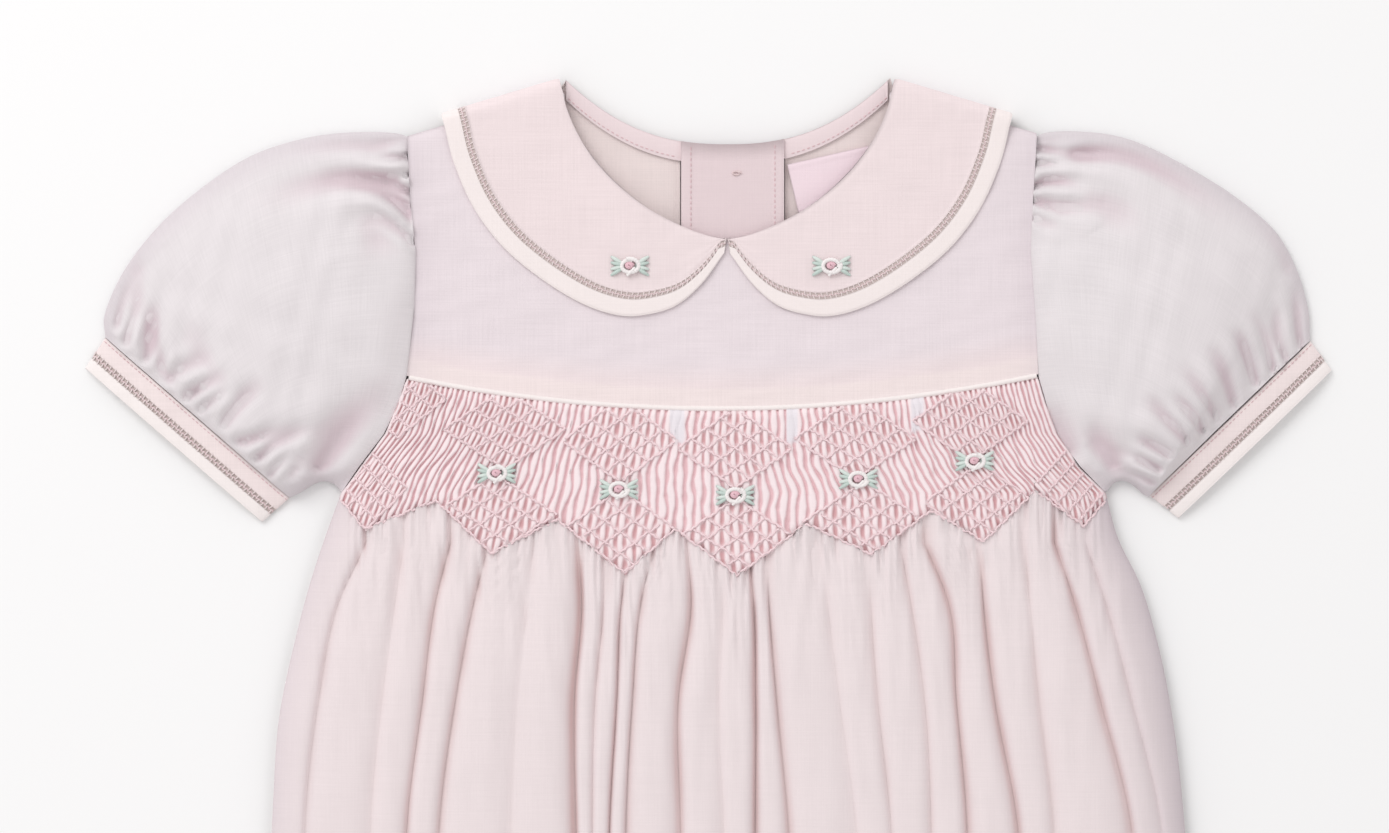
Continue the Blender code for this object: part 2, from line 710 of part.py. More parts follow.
def make_label():
    """The bare label inside the right half of the back yoke."""
    along = np.array([math.cos(LABEL_TILT), math.sin(LABEL_TILT)])
    down = np.array([along[1], -along[0]])
    grid = np.zeros((3, 4, 3))
    for j in range(3):
        for i in range(4):
            spot = np.array(LABEL_CORNER) + along * LABEL_WIDTH * i / 3 + down * LABEL_HEIGHT * j / 2
            grid[j, i] = (*spot, BINDING_BASE + 1.0)
    return make_panel("neck_label", grid, lowered(grid, 1.0), LABEL_WHITE)


def make_button(name, y):
    """A small flat button under the back placket."""
    shape = bmesh.new()
    bmesh.ops.create_cone(
        shape,
        cap_ends=True,
        segments=20,
        radius1=BUTTON_RADIUS * MM,
        radius2=BUTTON_RADIUS * MM,
        depth=BUTTON_HEIGHT * MM,
    )
    centre = BUTTON_BASE + BUTTON_HEIGHT / 2
    bmesh.ops.translate(shape, verts=shape.verts, vec=(BUTTON_X * MM, y * MM, centre * MM))
    mesh = bpy.data.meshes.new(name)
    shape.to_mesh(mesh)
    shape.free()
    mesh.shade_smooth()
    mesh.set_sharp_from_angle(angle=math.radians(40))
    thing = bpy.data.objects.new(name, mesh)
    thing.data.materials.append(cloth_material(name, PEARL, 0.35))
    bpy.context.scene.collection.objects.link(thing)
    return thing


def collar_surface(stations, inner_share, outer_share, cells, lift):
    """Points across part of the collar's width, at one face of its cloth."""
    middle = (COLLAR_BASE + TRIM_WALL) / 2
    slope = math.hypot(1.0, SHOULDER_SLOPE)
    over = np.array([-SHOULDER_SLOPE / slope, 1.0 / slope])
    grid = np.zeros((len(stations), cells + 1, 3))
    for j, (inner_x, inner_y, outer_x, outer_y, turn) in enumerate(stations):
        angle = math.radians(min(max(turn, 0.0), 180.0))
        radius = middle - TRIM_WALL + lift
        inner = np.array([inner_x, inner_y])
        outer = np.array([outer_x, outer_y])
        for i in range(cells + 1):
            width = np.linalg.norm(outer - inner)
            start = inner_share * width if inner_share < 1 else width - inner_share
            share = (start + (outer_share * width - start) * i / cells) / width
            spot = inner + (outer - inner) * share + over * radius * math.sin(angle)
            grid[j, i] = (*spot, middle + radius * math.cos(angle))
    return grid


def make_collar(side):
    """One half of the flat collar, wrapped over the shoulder, with its wide hem as a strip."""
    stations = smooth_rows(COLLAR, COLLAR_STATIONS)
    mirror = np.array([1.0 if side == "left" else -1.0, 1.0, 1.0])
    widths = np.hypot(stations[:, 2] - stations[:, 0], stations[:, 3] - stations[:, 1])
    shares = np.clip(1 - COLLAR_BAND / widths, 0.25, 1)
    gaps = SEAM_GAP / 2 / widths
    for name, start, end, cells, colour in (
        (f"collar_{side}", np.zeros_like(shares), shares - gaps, COLLAR_CELLS, PINK),
        (f"collar_band_{side}", shares + gaps, np.ones_like(shares), 1, CREAM),
    ):
        trimmed = stations.copy()
        for inner, outer in ((0, 2), (1, 3)):
            reach = stations[:, outer] - stations[:, inner]
            trimmed[:, inner] = stations[:, inner] + reach * start
            trimmed[:, outer] = stations[:, inner] + reach * end
        upper = collar_surface(trimmed, 0.0, 1.0, cells, TRIM_WALL) * mirror
        under = collar_surface(trimmed, 0.0, 1.0, cells, 0.0) * mirror
        make_panel(name, upper, under, colour)


def make_piping():
    """The piping, a thin covered cord along the yoke seam."""
    shell = Shell()
    xs = np.linspace(-99.6, 96.9, PIPING_STEPS + 1)
    angles = np.linspace(0, 2 * math.pi, PIPING_SIDES, endpoint=False)
    grid = np.zeros((PIPING_STEPS + 1, PIPING_SIDES, 3))
    for j, x in enumerate(xs):
        grid[j, :, 0] = x
        grid[j, :, 1] = yoke_seam_y(x) + PIPING_RADIUS * np.cos(angles)
        grid[j, :, 2] = FRONT_YOKE_BASE + WALL * 0.8 + PIPING_RADIUS * np.sin(angles)
    numbers = shell.add_grid(grid)
    shell.skin(numbers, ring=True)
    shell.faces.append(list(numbers[0]))
    shell.faces.append(list(numbers[-1])[::-1])
    return shell.make("yoke_piping", CREAM)


def curve_through(top, middle, bottom, t):
    """A curve through three points, at t from 0 to 1."""
    return (
        np.outer((1 - t) * (1 - 2 * t), top) + np.outer(4 * t * (1 - t), middle) + np.outer(t * (2 * t - 1), bottom)
    )


def armhole_points(side, t):
    """Points down the armhole seam, just outside it, on the side that the sign gives."""
    y = ARMHOLE[0][0] + (ARMHOLE[-1][0] - ARMHOLE[0][0]) * t
    index = 1 if side < 0 else 2
    return np.column_stack([read_table(ARMHOLE, y, index) + math.copysign(SEAM_GAP, side), y])


def ring_places(upper_count, lower_count):
    """Places round a flattened ring: t from its top to its bottom point and back, and the share
    of the way round."""
    upper_t = (1 - np.cos(np.linspace(0, math.pi, upper_count) * 0.94 + 0.03 * math.pi)) / 2
    upper_t = (upper_t - upper_t[0]) / (upper_t[-1] - upper_t[0])
    lower_t = np.linspace(1, 0, lower_count + 2)[1:-1]
    return np.concatenate([upper_t, lower_t]), np.concatenate([upper_t / 2, 1 - lower_t / 2])


def flat_ring(section, inset, drop, gathers, counts):
    """One ring of a flattened tube, its upper side arched and its lower side level."""
    top = np.array(section[0:2])
    middle = np.array(section[2:4])
    bottom = np.array(section[4:6])
    low, high, share = np.clip(section[6:9], 0, None)
    length = np.linalg.norm(middle - top) + np.linalg.norm(bottom - middle)
    t, _ = ring_places(*counts)
    half = counts[0]
    inside_t = inset / length + (1 - 2 * inset / length) * t
    spots = curve_through(top, middle, bottom, inside_t)
    spots = share * armhole_points(top[0], inside_t) + (1 - share) * spots
    body = np.clip(4 * t * (1 - t), 0, 1)
    z = np.zeros(len(t))
    centre = low + min(high - low, SIDE_SEAM_TOP) / 2
    upper = np.arange(len(t)) < half
    wave = gathers(t) * np.clip(body * 3, 0, 1)
    z[upper] = (centre + (high - drop - centre) * body**0.42 + wave)[upper]
    z[~upper] = centre - (centre - low - drop) * np.clip(body[~upper] * 6, 0, 1)
    return np.column_stack([spots, z])


def make_tube(name, sections, wall, gathers, colour, counts):
    """A flattened tube of cloth, open at both ends, with its gathers on the outside."""
    plain = no_gathers(0)
    outer = np.array([flat_ring(row, 0.0, 0.0, gathers(j), counts) for j, row in enumerate(sections)])
    inner = np.array([flat_ring(row, wall, wall, plain, INSIDE_POINTS) for row in sections])
    shell = Shell()
    outside = shell.add_grid(outer)
    inside = shell.add_grid(inner)
    shell.skin(outside, ring=True)
    shell.skin(inside, flip=True, ring=True)
    outer_shares = np.append(ring_places(*counts)[1], 1.0)
    inner_shares = np.append(ring_places(*INSIDE_POINTS)[1], 1.0)
    for end in (0, -1):
        outer_ring = np.append(outside[end], outside[end, 0])
        inner_ring = np.append(inside[end], inside[end, 0])
        shell.zip_lines(outer_ring, inner_ring, outer_shares, inner_shares)
    return shell.make(name, colour)


def no_gathers(_row):
    """A band without gathers."""
    return lambda t: np.zeros_like(t)


def sleeve_gathers(row):
    """Gathers that run from the cap and from the cuff and fade over the puff."""
    from_cap = max(0.0, 1 - row / 5)
    from_cuff = max(0.0, 1 - (SLEEVE_SECTIONS - 1 - row) / 5)

    def wave(t):
        cap = (1 + np.cos(2 * math.pi * CAP_GATHERS * t / CAP_SHARE)) * np.clip(2.5 - 2.5 * t / CAP_SHARE, 0, 1)
        cuff = 1 + np.cos(2 * math.pi * CUFF_GATHERS * t)
        return 0.5 * (CAP_GATHER_HEIGHT * from_cap * cap + CUFF_GATHER_HEIGHT * from_cuff * cuff)

    return wave


def band_sections(upper, reach, side):
    """Sections of a cuff, laid off along the arm from the sleeve's end."""
    top = np.array(upper[0:2])
    bottom = np.array(upper[2:4])
    along = (bottom - top) / np.linalg.norm(bottom - top)
    out = np.array([along[1], -along[0]])
    if out[0] * side < 0:
        out = -out
    sections = []
    for distance in reach:
        taper = CUFF_NARROWING * distance / 12.0
        first = top + out * distance + along * taper
        last = bottom + out * distance - along * taper
        sections.append((*first, *((first + last) / 2), *last, 0.0, CUFF_HEIGHT, 0.0))
    return sections


def make_sleeves():
    """Both puffed sleeves with their cuffs and the cuffs' wide hems."""
    for name, sections, upper, side in (
        ("left", SLEEVE_LEFT, CUFF_LEFT, -1),
        ("right", SLEEVE_RIGHT, CUFF_RIGHT, 1),
    ):
        rows = smooth_rows(sections, SLEEVE_SECTIONS)
        make_tube(f"sleeve_{name}", rows, SLEEVE_WALL, sleeve_gathers, PINK, SLEEVE_POINTS)
        band = band_sections(upper, CUFF_BAND, side)
        make_tube(f"cuff_{name}", band, TRIM_WALL, no_gathers, PINK, BAND_POINTS)
        hem = band_sections(upper, CUFF_HEM, side)
        make_tube(f"cuff_hem_{name}", hem, TRIM_WALL, no_gathers, CREAM, BAND_POINTS)


def make_leg_bands():
    """The band round each leg and the strip that closes the crotch between them."""
    for name, side in (("left", -1), ("right", 1)):
        top = np.array([LEG_OUTER[0] * side, LEG_OUTER[1]])
        bottom = np.array([CROTCH_HALF_WIDTH * side, CROTCH_TOP_Y])
        along = (bottom - top) / np.linalg.norm(bottom - top)
        out = np.array([along[1], -along[0]])
        if out[1] > 0:
            out = -out
        sections = []
        for distance in (SEAM_GAP, LEG_BAND_DEPTH):
            first = top + out * distance
            last = bottom + out * distance - along * SEAM_GAP
            middle = (first + last) / 2 + np.array([0.0, LEG_ARCH])
            sections.append((*first, *middle, *last, 0.0, LEG_SEAM_TOP, 0.0))
        make_tube(f"leg_band_{name}", sections, TRIM_WALL, no_gathers, CREAM, BAND_POINTS)
    lean = LEG_BAND_DEPTH * (CROTCH_TOP_Y - LEG_OUTER[1]) / -(LEG_OUTER[0] - CROTCH_HALF_WIDTH)
    across = np.linspace(-1, 1, 9)
    grid = np.zeros((3, 9, 3))
    for j in range(3):
        half = CROTCH_HALF_WIDTH - SEAM_GAP + (lean - 0.9) * j / 2
        y = CROTCH_TOP_Y - SEAM_GAP - CROTCH_BAND_DEPTH * j / 2
        grid[j] = np.stack([across * half, np.full(9, y), np.full(9, SIDE_SEAM_TOP)], axis=1)
    make_panel("crotch_band", grid, lowered(grid, SIDE_SEAM_TOP), CREAM)


def centre_on_origin():
    """Moves the romper so that the centre of its underside is the origin."""
    things = list(bpy.context.scene.collection.objects)
    corners = np.array([point.co[:] for thing in things for point in thing.data.vertices])
    low = corners.min(axis=0)
    high = corners.max(axis=0)
    shift = np.array([(low[0] + high[0]) / 2, (low[1] + high[1]) / 2, low[2]])
    for thing in things:
        for point in thing.data.vertices:
            point.co = np.array(point.co[:]) - shift


clear_scene()
make_front_panel()
make_back_skirt()
make_front_yoke()
make_back_yoke("back_yoke_left", -100.0, -NECK_HALF_WIDTH)
make_back_yoke("back_yoke_right", NECK_HALF_WIDTH, 96.8)
make_back_opening()
for half in ("left", "right"):
    make_collar(half)
make_piping()
make_sleeves()
make_leg_bands()
centre_on_origin()
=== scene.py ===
"""The look of the smocked bubble romper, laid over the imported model.

Lengths in the tables are millimetres in the garment's own frame: x runs to the viewer's right, y
runs up from the neck points at y = 0, and z runs up from the floor that the garment lies on.
"""

import math

import bpy
import numpy as np
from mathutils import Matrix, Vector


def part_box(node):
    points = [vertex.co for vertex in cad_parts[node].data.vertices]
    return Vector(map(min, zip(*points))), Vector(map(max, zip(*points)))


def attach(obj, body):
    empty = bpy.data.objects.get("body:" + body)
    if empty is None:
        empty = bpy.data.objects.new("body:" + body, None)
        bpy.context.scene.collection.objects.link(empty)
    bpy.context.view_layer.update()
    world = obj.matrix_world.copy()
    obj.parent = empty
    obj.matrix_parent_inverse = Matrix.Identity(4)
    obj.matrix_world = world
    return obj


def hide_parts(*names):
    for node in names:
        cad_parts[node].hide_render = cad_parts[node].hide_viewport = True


MM = 0.001

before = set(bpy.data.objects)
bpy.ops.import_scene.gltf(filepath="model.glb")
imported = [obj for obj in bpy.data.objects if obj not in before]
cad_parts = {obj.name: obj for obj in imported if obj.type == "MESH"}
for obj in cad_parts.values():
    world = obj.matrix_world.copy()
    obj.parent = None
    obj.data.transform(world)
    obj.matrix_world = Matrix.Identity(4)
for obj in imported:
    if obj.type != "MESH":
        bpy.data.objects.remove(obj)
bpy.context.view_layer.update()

# The garment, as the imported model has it
SEAM_GAP = 0.3
ARMHOLE_EASE = 0.1
WALL = 1.2
TRIM_WALL = 1.1
BACK_YOKE_BASE = 1.5
BINDING_BASE = 2.9
PLACKET_BASE = 4.2
FRONT_YOKE_BASE = 5.5
COLLAR_BASE = 7.0
SIDE_SEAM_TOP = 2.7
LEG_SEAM_TOP = 4.2
NECK_HALF_WIDTH = 51.6
NECK_POINT_Y = -4.1
FRONT_NECK_DEPTH = 47.0
FRONT_NECK_POWER = 1.6
BACK_NECK_DEPTH = 21.3
BACK_NECK_POWER = 2.4
SHOULDER_SLOPE = 0.302
BINDING_WIDTH = 6.2
BINDING_REACH = 50.4
PLACKET_LEFT = -14.7
PLACKET_RIGHT = 18.2
PLACKET_FOOT = -99.5
BUTTON_X = 3.2
BUTTON_RADIUS = 4.5
BUTTON_YS = (-30.4, -61.0, -91.6)
LABEL_WIDTH = 26.0
LABEL_HEIGHT = 16.0
LABEL_CORNER = (18.9, -27.6)
LABEL_TILT = math.radians(13)
PIPING_RADIUS = 0.85
YOKE_SEAM_ENDS = (-94.2, -93.6)
YOKE_SEAM_DIP = 10.2
PLEATS = 100
PLEAT_CROWDING = 0.22
COLLAR_BAND = 6.5
CUFF_HEIGHT = 4.2
CUFF_NARROWING = 1.6
CROTCH_HALF_WIDTH = 34.6
CROTCH_TOP_Y = -384.0
CROTCH_FOOT_Y = -395.7
LEG_BAND_DEPTH = 12.0
LEG_OUTER = (116.0, -344.0)
LEG_ARCH = 6.0
SIDE_ROUNDING = 26.0

# Armhole seams: y, x on the left side, x on the right side
ARMHOLE = (
    (-18.8, -100.3, 97.1),
    (-38.8, -99.2, 95.8),
    (-55.4, -97.5, 95.2),
    (-75.7, -98.0, 96.7),
    (-94.0, -100.4, 97.6),
    (-103.0, -103.2, 100.2),
    (-112.1, -107.6, 103.5),
    (-122.1, -115.2, 110.6),
    (-130.5, -121.1, 118.9),
)

# Side edges below the armholes: y, left x, right x
SIDES = (
    (-130.5, -121.1, 118.9),
    (-144.6, -126.2, 122.7),
    (-158.7, -130.8, 129.5),
    (-176.5, -135.5, 134.9),
    (-201.3, -140.6, 139.9),
    (-226.6, -142.4, 142.9),
    (-262.0, -143.2, 145.0),
    (-295.0, -140.0, 142.0),
    (-322.0, -131.0, 132.5),
    (-344.0, -116.0, 116.0),
)

# Lower edge of the smocking, point by point from the left side: x, y
SMOCK_HEM = (
    (-122.0, -132.4),
    (-113.0, -142.4),
    (-91.1, -133.3),
    (-73.6, -149.9),
    (-52.9, -139.3),
    (-31.9, -156.2),
    (-16.3, -142.1),
    (3.1, -156.8),
    (24.7, -140.5),
    (45.1, -150.2),
    (63.5, -136.5),
    (80.1, -146.2),
    (96.4, -130.2),
    (111.4, -141.5),
    (120.0, -132.0),
)

# Diamonds of trellis stitching: centre x, centre y, half width, half height
DIAMONDS = (
    (-103.0, -101.0, 15.0, 12.0),
    (-69.5, -110.5, 19.0, 12.5),
    (-33.5, -114.0, 18.0, 13.0),
    (2.5, -116.5, 18.0, 12.5),
    (40.0, -113.5, 19.0, 12.5),
    (76.0, -108.0, 18.0, 12.5),
    (-113.0, -129.0, 13.0, 13.0),
    (-72.5, -137.0, 19.0, 12.5),
    (-33.5, -142.5, 18.5, 13.5),
    (3.0, -144.5, 18.5, 12.5),
    (43.0, -139.5, 19.5, 12.5),
    (79.0, -133.5, 17.5, 12.5),
    (109.0, -127.0, 12.0, 13.0),
)

# Valleys between the skirt's folds: x at the smocking, at y = -164, -195 and -233, at the hem; depth
VALLEY_YS = (-146.0, -164.0, -195.0, -233.0, -380.0)
VALLEYS = (
    (-113.0, -121.2, -127.6, -131.8, -108.0, 2.5),
    (-101.0, -103.6, -107.7, -111.2, -90.5, 1.4),
    (-86.5, -91.0, -95.1, -99.8, -80.5, 4.0),
    (-74.5, -79.0, -84.8, -89.8, -72.0, 4.0),
    (-60.5, -62.3, -65.7, -67.6, -54.5, 1.2),
    (-46.6, -45.4, -47.6, -47.2, -39.0, 6.4),
    (-38.6, -38.6, -41.2, -42.0, -33.0, 2.2),
    (-30.6, -33.0, -34.4, -36.6, -27.5, 4.0),
    (-22.6, -26.8, -29.6, -31.6, -22.0, 3.6),
    (-12.6, -11.2, -15.2, -14.6, -12.0, 5.0),
    (-3.0, -1.4, -2.6, -1.2, -2.0, 1.4),
    (6.6, 8.3, 9.0, 8.8, 6.5, 5.6),
    (12.4, 13.0, 15.4, 19.0, 15.0, 4.0),
    (29.6, 31.2, 35.0, 40.0, 32.0, 1.4),
    (44.2, 44.8, 47.0, 51.0, 41.0, 2.4),
    (54.0, 57.2, 61.6, 63.6, 51.0, 2.6),
    (61.6, 69.0, 71.6, 74.8, 60.0, 4.6),
    (78.8, 80.0, 83.6, 90.6, 72.0, 5.0),
    (93.0, 94.4, 97.2, 101.6, 80.0, 2.4),
    (102.4, 108.4, 116.6, 126.0, 94.0, 4.6),
    (112.0, 118.0, 126.2, 135.4, 105.0, 2.0),
)

# Height of the front's cloth along the middle, and along its side edges: y, z
FRONT_CREST = (
    (-92.0, 6.7),
    (-110.0, 7.6),
    (-128.0, 8.8),
    (-150.0, 10.2),
    (-190.0, 11.8),
    (-250.0, 12.6),
    (-310.0, 11.4),
    (-350.0, 8.4),
    (-400.0, 5.2),
)
FRONT_EDGE = ((-92.0, 6.7), (-105.0, 6.2), (-118.0, 4.6), (-130.5, SIDE_SEAM_TOP))

# Collar, from the centre front round the shoulder to the centre back:
# inner x, inner y, outer x, outer y, turn in degrees (0 on the front, 180 on the back)
COLLAR = (
    (-0.25, -51.2, -0.9, -55.6, 0),
    (-5.0, -50.3, -8.0, -65.2, 0),
    (-11.0, -48.3, -15.8, -71.8, 0),
    (-18.0, -45.2, -24.5, -74.6, 0),
    (-25.0, -41.3, -33.5, -75.0, 0),
    (-31.8, -36.2, -45.0, -71.4, 0),
    (-38.2, -30.2, -58.0, -63.6, 0),
    (-43.6, -23.4, -70.0, -53.6, 0),
    (-47.6, -16.4, -79.2, -41.4, 0),
    (-50.2, -10.0, -85.4, -27.4, 0),
    (-51.3, -5.2, -88.2, -16.4, 8),
    (-51.5, -4.3, -88.4, -15.5, 50),
    (-51.5, -4.2, -88.4, -15.4, 90),
    (-51.5, -4.3, -88.4, -15.5, 130),
    (-50.6, -5.4, -88.2, -16.6, 172),
    (-45.6, -8.0, -84.0, -31.0, 180),
    (-38.0, -12.4, -72.0, -45.0, 180),
    (-28.0, -17.2, -54.0, -55.4, 180),
    (-18.0, -20.4, -34.0, -61.4, 180),
    (-11.0, -21.8, -17.0, -62.0, 180),
    (-8.4, -22.6, -9.4, -54.0, 180),
)

# Sleeve sections, from the armhole to the cuff: top, middle and bottom point of the flattened
# ring, height of its lower side, height of its upper side, and how far it follows the armhole
SLEEVE_LEFT = (
    (-100.7, -18.9, -97.9, -72.0, -121.6, -129.8, 1.5, 6.7, 1.0),
    (-106.5, -16.6, -104.4, -73.0, -122.8, -127.8, 0.5, 8.8, 0.62),
    (-118.0, -16.6, -114.0, -74.0, -124.6, -126.6, 0.0, 11.8, 0.28),
    (-133.0, -18.8, -125.0, -76.0, -127.2, -126.6, 0.0, 14.0, 0.08),
    (-149.0, -24.6, -137.5, -79.5, -130.2, -128.2, 0.0, 15.2, 0.0),
    (-164.0, -34.2, -148.0, -85.0, -133.0, -130.0, 0.0, 14.8, 0.0),
    (-178.0, -46.4, -157.0, -92.0, -135.2, -131.2, 0.0, 12.8, 0.0),
    (-189.0, -60.4, -163.0, -99.5, -136.6, -131.8, 0.0, 9.4, 0.0),
    (-195.2, -74.0, -165.6, -105.0, -137.2, -132.0, 0.0, 6.0, 0.0),
    (-195.2, -81.6, -166.0, -106.9, -137.6, -131.9, 0.0, 4.4, 0.0),
)
SLEEVE_RIGHT = (
    (97.5, -18.9, 95.6, -72.0, 119.4, -129.8, 1.5, 6.7, 1.0),
    (103.6, -15.9, 102.4, -73.0, 120.8, -128.2, 0.5, 8.8, 0.62),
    (115.0, -16.4, 112.0, -74.0, 123.0, -126.2, 0.0, 11.8, 0.28),
    (128.0, -19.4, 122.0, -76.0, 125.6, -126.6, 0.0, 14.0, 0.08),
    (143.5, -27.6, 133.5, -80.5, 128.0, -128.6, 0.0, 15.2, 0.0),
    (159.0, -37.2, 144.0, -86.5, 130.0, -130.4, 0.0, 14.8, 0.0),
    (171.5, -47.8, 152.5, -93.0, 131.4, -131.4, 0.0, 12.8, 0.0),
    (178.4, -59.4, 154.8, -98.0, 132.2, -131.8, 0.0, 9.4, 0.0),
    (182.4, -72.6, 156.4, -103.2, 132.6, -131.6, 0.0, 6.0, 0.0),
    (183.0, -82.6, 157.6, -106.7, 132.9, -131.1, 0.0, 4.4, 0.0),
)
CUFF_LEFT = (-195.2, -81.9, -137.4, -132.2)
CUFF_RIGHT = (183.2, -82.9, 132.8, -131.4)
CUFF_BAND = (0.0, 5.45)
CUFF_HEM = (7.55, 11.2)

# Creases: start x, y, middle x, y, end x, y, half width, depth (a ridge has a negative depth)
CREASES_LEFT = (
    (-99.5, -19.5, -107.0, -20.0, -112.5, -20.5, 1.3, 1.3),
    (-99.5, -25.0, -107.5, -26.0, -116.0, -24.0, 1.3, 1.5),
    (-99.0, -31.0, -106.5, -31.0, -114.5, -29.5, 1.4, 1.5),
    (-99.0, -36.5, -107.5, -33.0, -121.0, -32.5, 1.5, 1.8),
    (-99.0, -42.0, -119.0, -32.0, -151.0, -43.0, 3.2, 2.6),
    (-98.5, -47.0, -108.0, -37.0, -123.0, -36.0, 1.5, 1.6),
    (-98.0, -52.0, -106.0, -45.0, -114.0, -40.5, 1.6, 1.4),
    (-105.5, -23.0, -125.0, -21.5, -148.0, -23.5, 3.0, 1.6),
    (-112.0, -45.0, -108.0, -52.0, -106.0, -60.0, 5.0, 0.9),
    (-191.0, -78.0, -188.0, -66.0, -184.0, -55.0, 1.8, 1.3),
    (-188.0, -83.0, -184.5, -69.0, -181.0, -54.0, 1.7, 1.5),
    (-182.0, -88.5, -181.0, -80.0, -181.0, -66.0, 1.8, 1.8),
    (-176.0, -94.0, -179.0, -80.0, -180.0, -66.0, 2.2, 1.5),
    (-174.0, -95.5, -169.0, -91.0, -157.0, -88.5, 1.8, 1.4),
    (-169.0, -100.5, -161.0, -96.0, -150.0, -94.0, 1.8, 1.7),
    (-164.5, -104.5, -158.0, -100.0, -149.0, -97.0, 1.5, 1.2),
    (-157.0, -109.0, -150.0, -100.5, -143.0, -94.0, 2.0, 1.5),
    (-152.5, -114.5, -141.0, -111.5, -125.0, -104.0, 2.0, 1.6),
    (-147.0, -119.5, -136.0, -113.0, -124.5, -108.0, 1.8, 1.8),
    (-143.0, -125.0, -137.5, -118.5, -132.5, -115.0, 1.5, 1.2),
    (-128.0, -123.0, -119.0, -111.5, -102.0, -91.0, 3.4, 2.4),
    (-135.5, -124.0, -125.0, -109.0, -114.0, -97.0, 3.0, 1.3),
    (-186.0, -60.0, -187.5, -51.0, -183.0, -42.0, 3.0, 0.8),
    (-160.0, -92.0, -166.0, -84.0, -168.0, -74.0, 3.5, 0.7),
)
CREASES_RIGHT = (
    (97.0, -19.5, 104.0, -19.5, 110.0, -18.0, 1.2, 1.2),
    (97.0, -22.0, 107.5, -24.0, 124.5, -26.0, 1.8, 1.9),
    (97.0, -27.0, 104.0, -27.5, 113.0, -25.5, 1.3, 1.5),
    (96.5, -34.5, 105.0, -33.0, 117.0, -38.0, 1.6, 2.0),
    (96.5, -39.0, 107.0, -41.0, 121.0, -38.5, 2.0, 1.9),
    (96.0, -44.0, 102.0, -46.0, 109.0, -44.0, 1.8, 1.1),
    (111.0, -24.5, 135.0, -28.5, 162.5, -50.5, 3.6, 2.0),
    (116.0, -40.0, 122.0, -44.0, 122.5, -52.0, 5.0, 0.9),
    (180.0, -84.0, 178.5, -73.0, 179.5, -61.0, 1.6, 1.2),
    (175.0, -88.5, 172.0, -78.0, 173.5, -69.0, 1.6, 1.5),
    (171.0, -91.5, 168.0, -80.5, 162.5, -72.0, 1.7, 1.5),
    (165.5, -95.5, 161.0, -84.5, 158.0, -77.5, 1.8, 1.7),
    (158.5, -102.5, 154.0, -91.0, 149.0, -83.0, 2.0, 1.5),
    (153.0, -106.5, 146.0, -97.0, 140.5, -88.5, 1.9, 1.3),
    (148.5, -111.0, 142.5, -103.0, 136.0, -97.5, 1.7, 1.6),
    (143.5, -114.5, 135.0, -105.0, 129.5, -99.5, 1.8, 1.4),
    (138.0, -118.5, 129.5, -114.5, 121.5, -113.0, 1.7, 1.6),
    (135.0, -123.0, 127.0, -119.0, 118.5, -116.0, 1.6, 1.7),
    (133.5, -127.5, 126.0, -124.5, 119.0, -122.5, 1.3, 1.2),
    (121.5, -123.0, 116.0, -114.5, 105.0, -107.5, 3.4, 1.9),
    (108.0, -118.0, 104.0, -110.0, 99.0, -99.0, 3.0, 1.2),
    (176.0, -60.0, 173.0, -50.0, 165.0, -42.0, 3.2, 0.8),
)


def column(table, index):
    """One column of a table, as an array."""
    return np.array([row[index] for row in table], dtype=float)


def read_table(table, key, index):
    """Reads a table whose first column falls from row to row, such as y down the garment."""
    return np.interp(-np.asarray(key, dtype=float), -column(table, 0), column(table, index))


def read_smooth(keys, values, key):
    """Reads values at falling keys along a smooth curve through them."""
    keys = -np.asarray(keys, dtype=float)
    values = np.asarray(values, dtype=float)
    place = np.clip(-np.asarray(key, dtype=float), keys[0], keys[-1])
    slopes = np.gradient(values, keys)
    left = np.clip(np.searchsorted(keys, place, side="right") - 1, 0, len(keys) - 2)
    span = keys[left + 1] - keys[left]
    t = (place - keys[left]) / span
    return (
        values[left] * (1 + 2 * t) * (1 - t) ** 2
        + slopes[left] * span * t * (1 - t) ** 2
        + values[left + 1] * t**2 * (3 - 2 * t)
        + slopes[left + 1] * span * t**2 * (t - 1)
    )


def smooth_rows(table, count):
    """Samples a table's rows evenly along a smooth curve through them."""
    rows = np.array(table, dtype=float)
    padded = np.vstack([2 * rows[0] - rows[1], rows, 2 * rows[-1] - rows[-2]])
    samples = []
    for place in np.linspace(0, len(rows) - 1, count):
        start = min(int(place), len(rows) - 2)
        t = place - start
        before, left, right, after = padded[start : start + 4]
        samples.append(
            0.5
            * (
                2 * left
                + (right - before) * t
                + (2 * before - 5 * left + 4 * right - after) * t**2
                + (3 * left - before - 3 * right + after) * t**3
            )
        )
    return np.array(samples)


def front_neck_y(x):
    """The front neckline, a rounded curve through the neck points."""
    reach = np.clip(np.abs(x) / NECK_HALF_WIDTH, 0, 1)
    return NECK_POINT_Y - FRONT_NECK_DEPTH * (1 - reach**FRONT_NECK_POWER) ** (1 / FRONT_NECK_POWER)


def back_neck_y(x):
    """The back neckline, shallower and flatter."""
    reach = np.clip(np.abs(x) / NECK_HALF_WIDTH, 0, 1)
    return -BACK_NECK_DEPTH * (1 - reach**BACK_NECK_POWER)


def shoulder_y(x):
    """The shoulder seam, falling from the neck point to the armhole."""
    return NECK_POINT_Y - SHOULDER_SLOPE * (np.abs(x) - NECK_HALF_WIDTH)


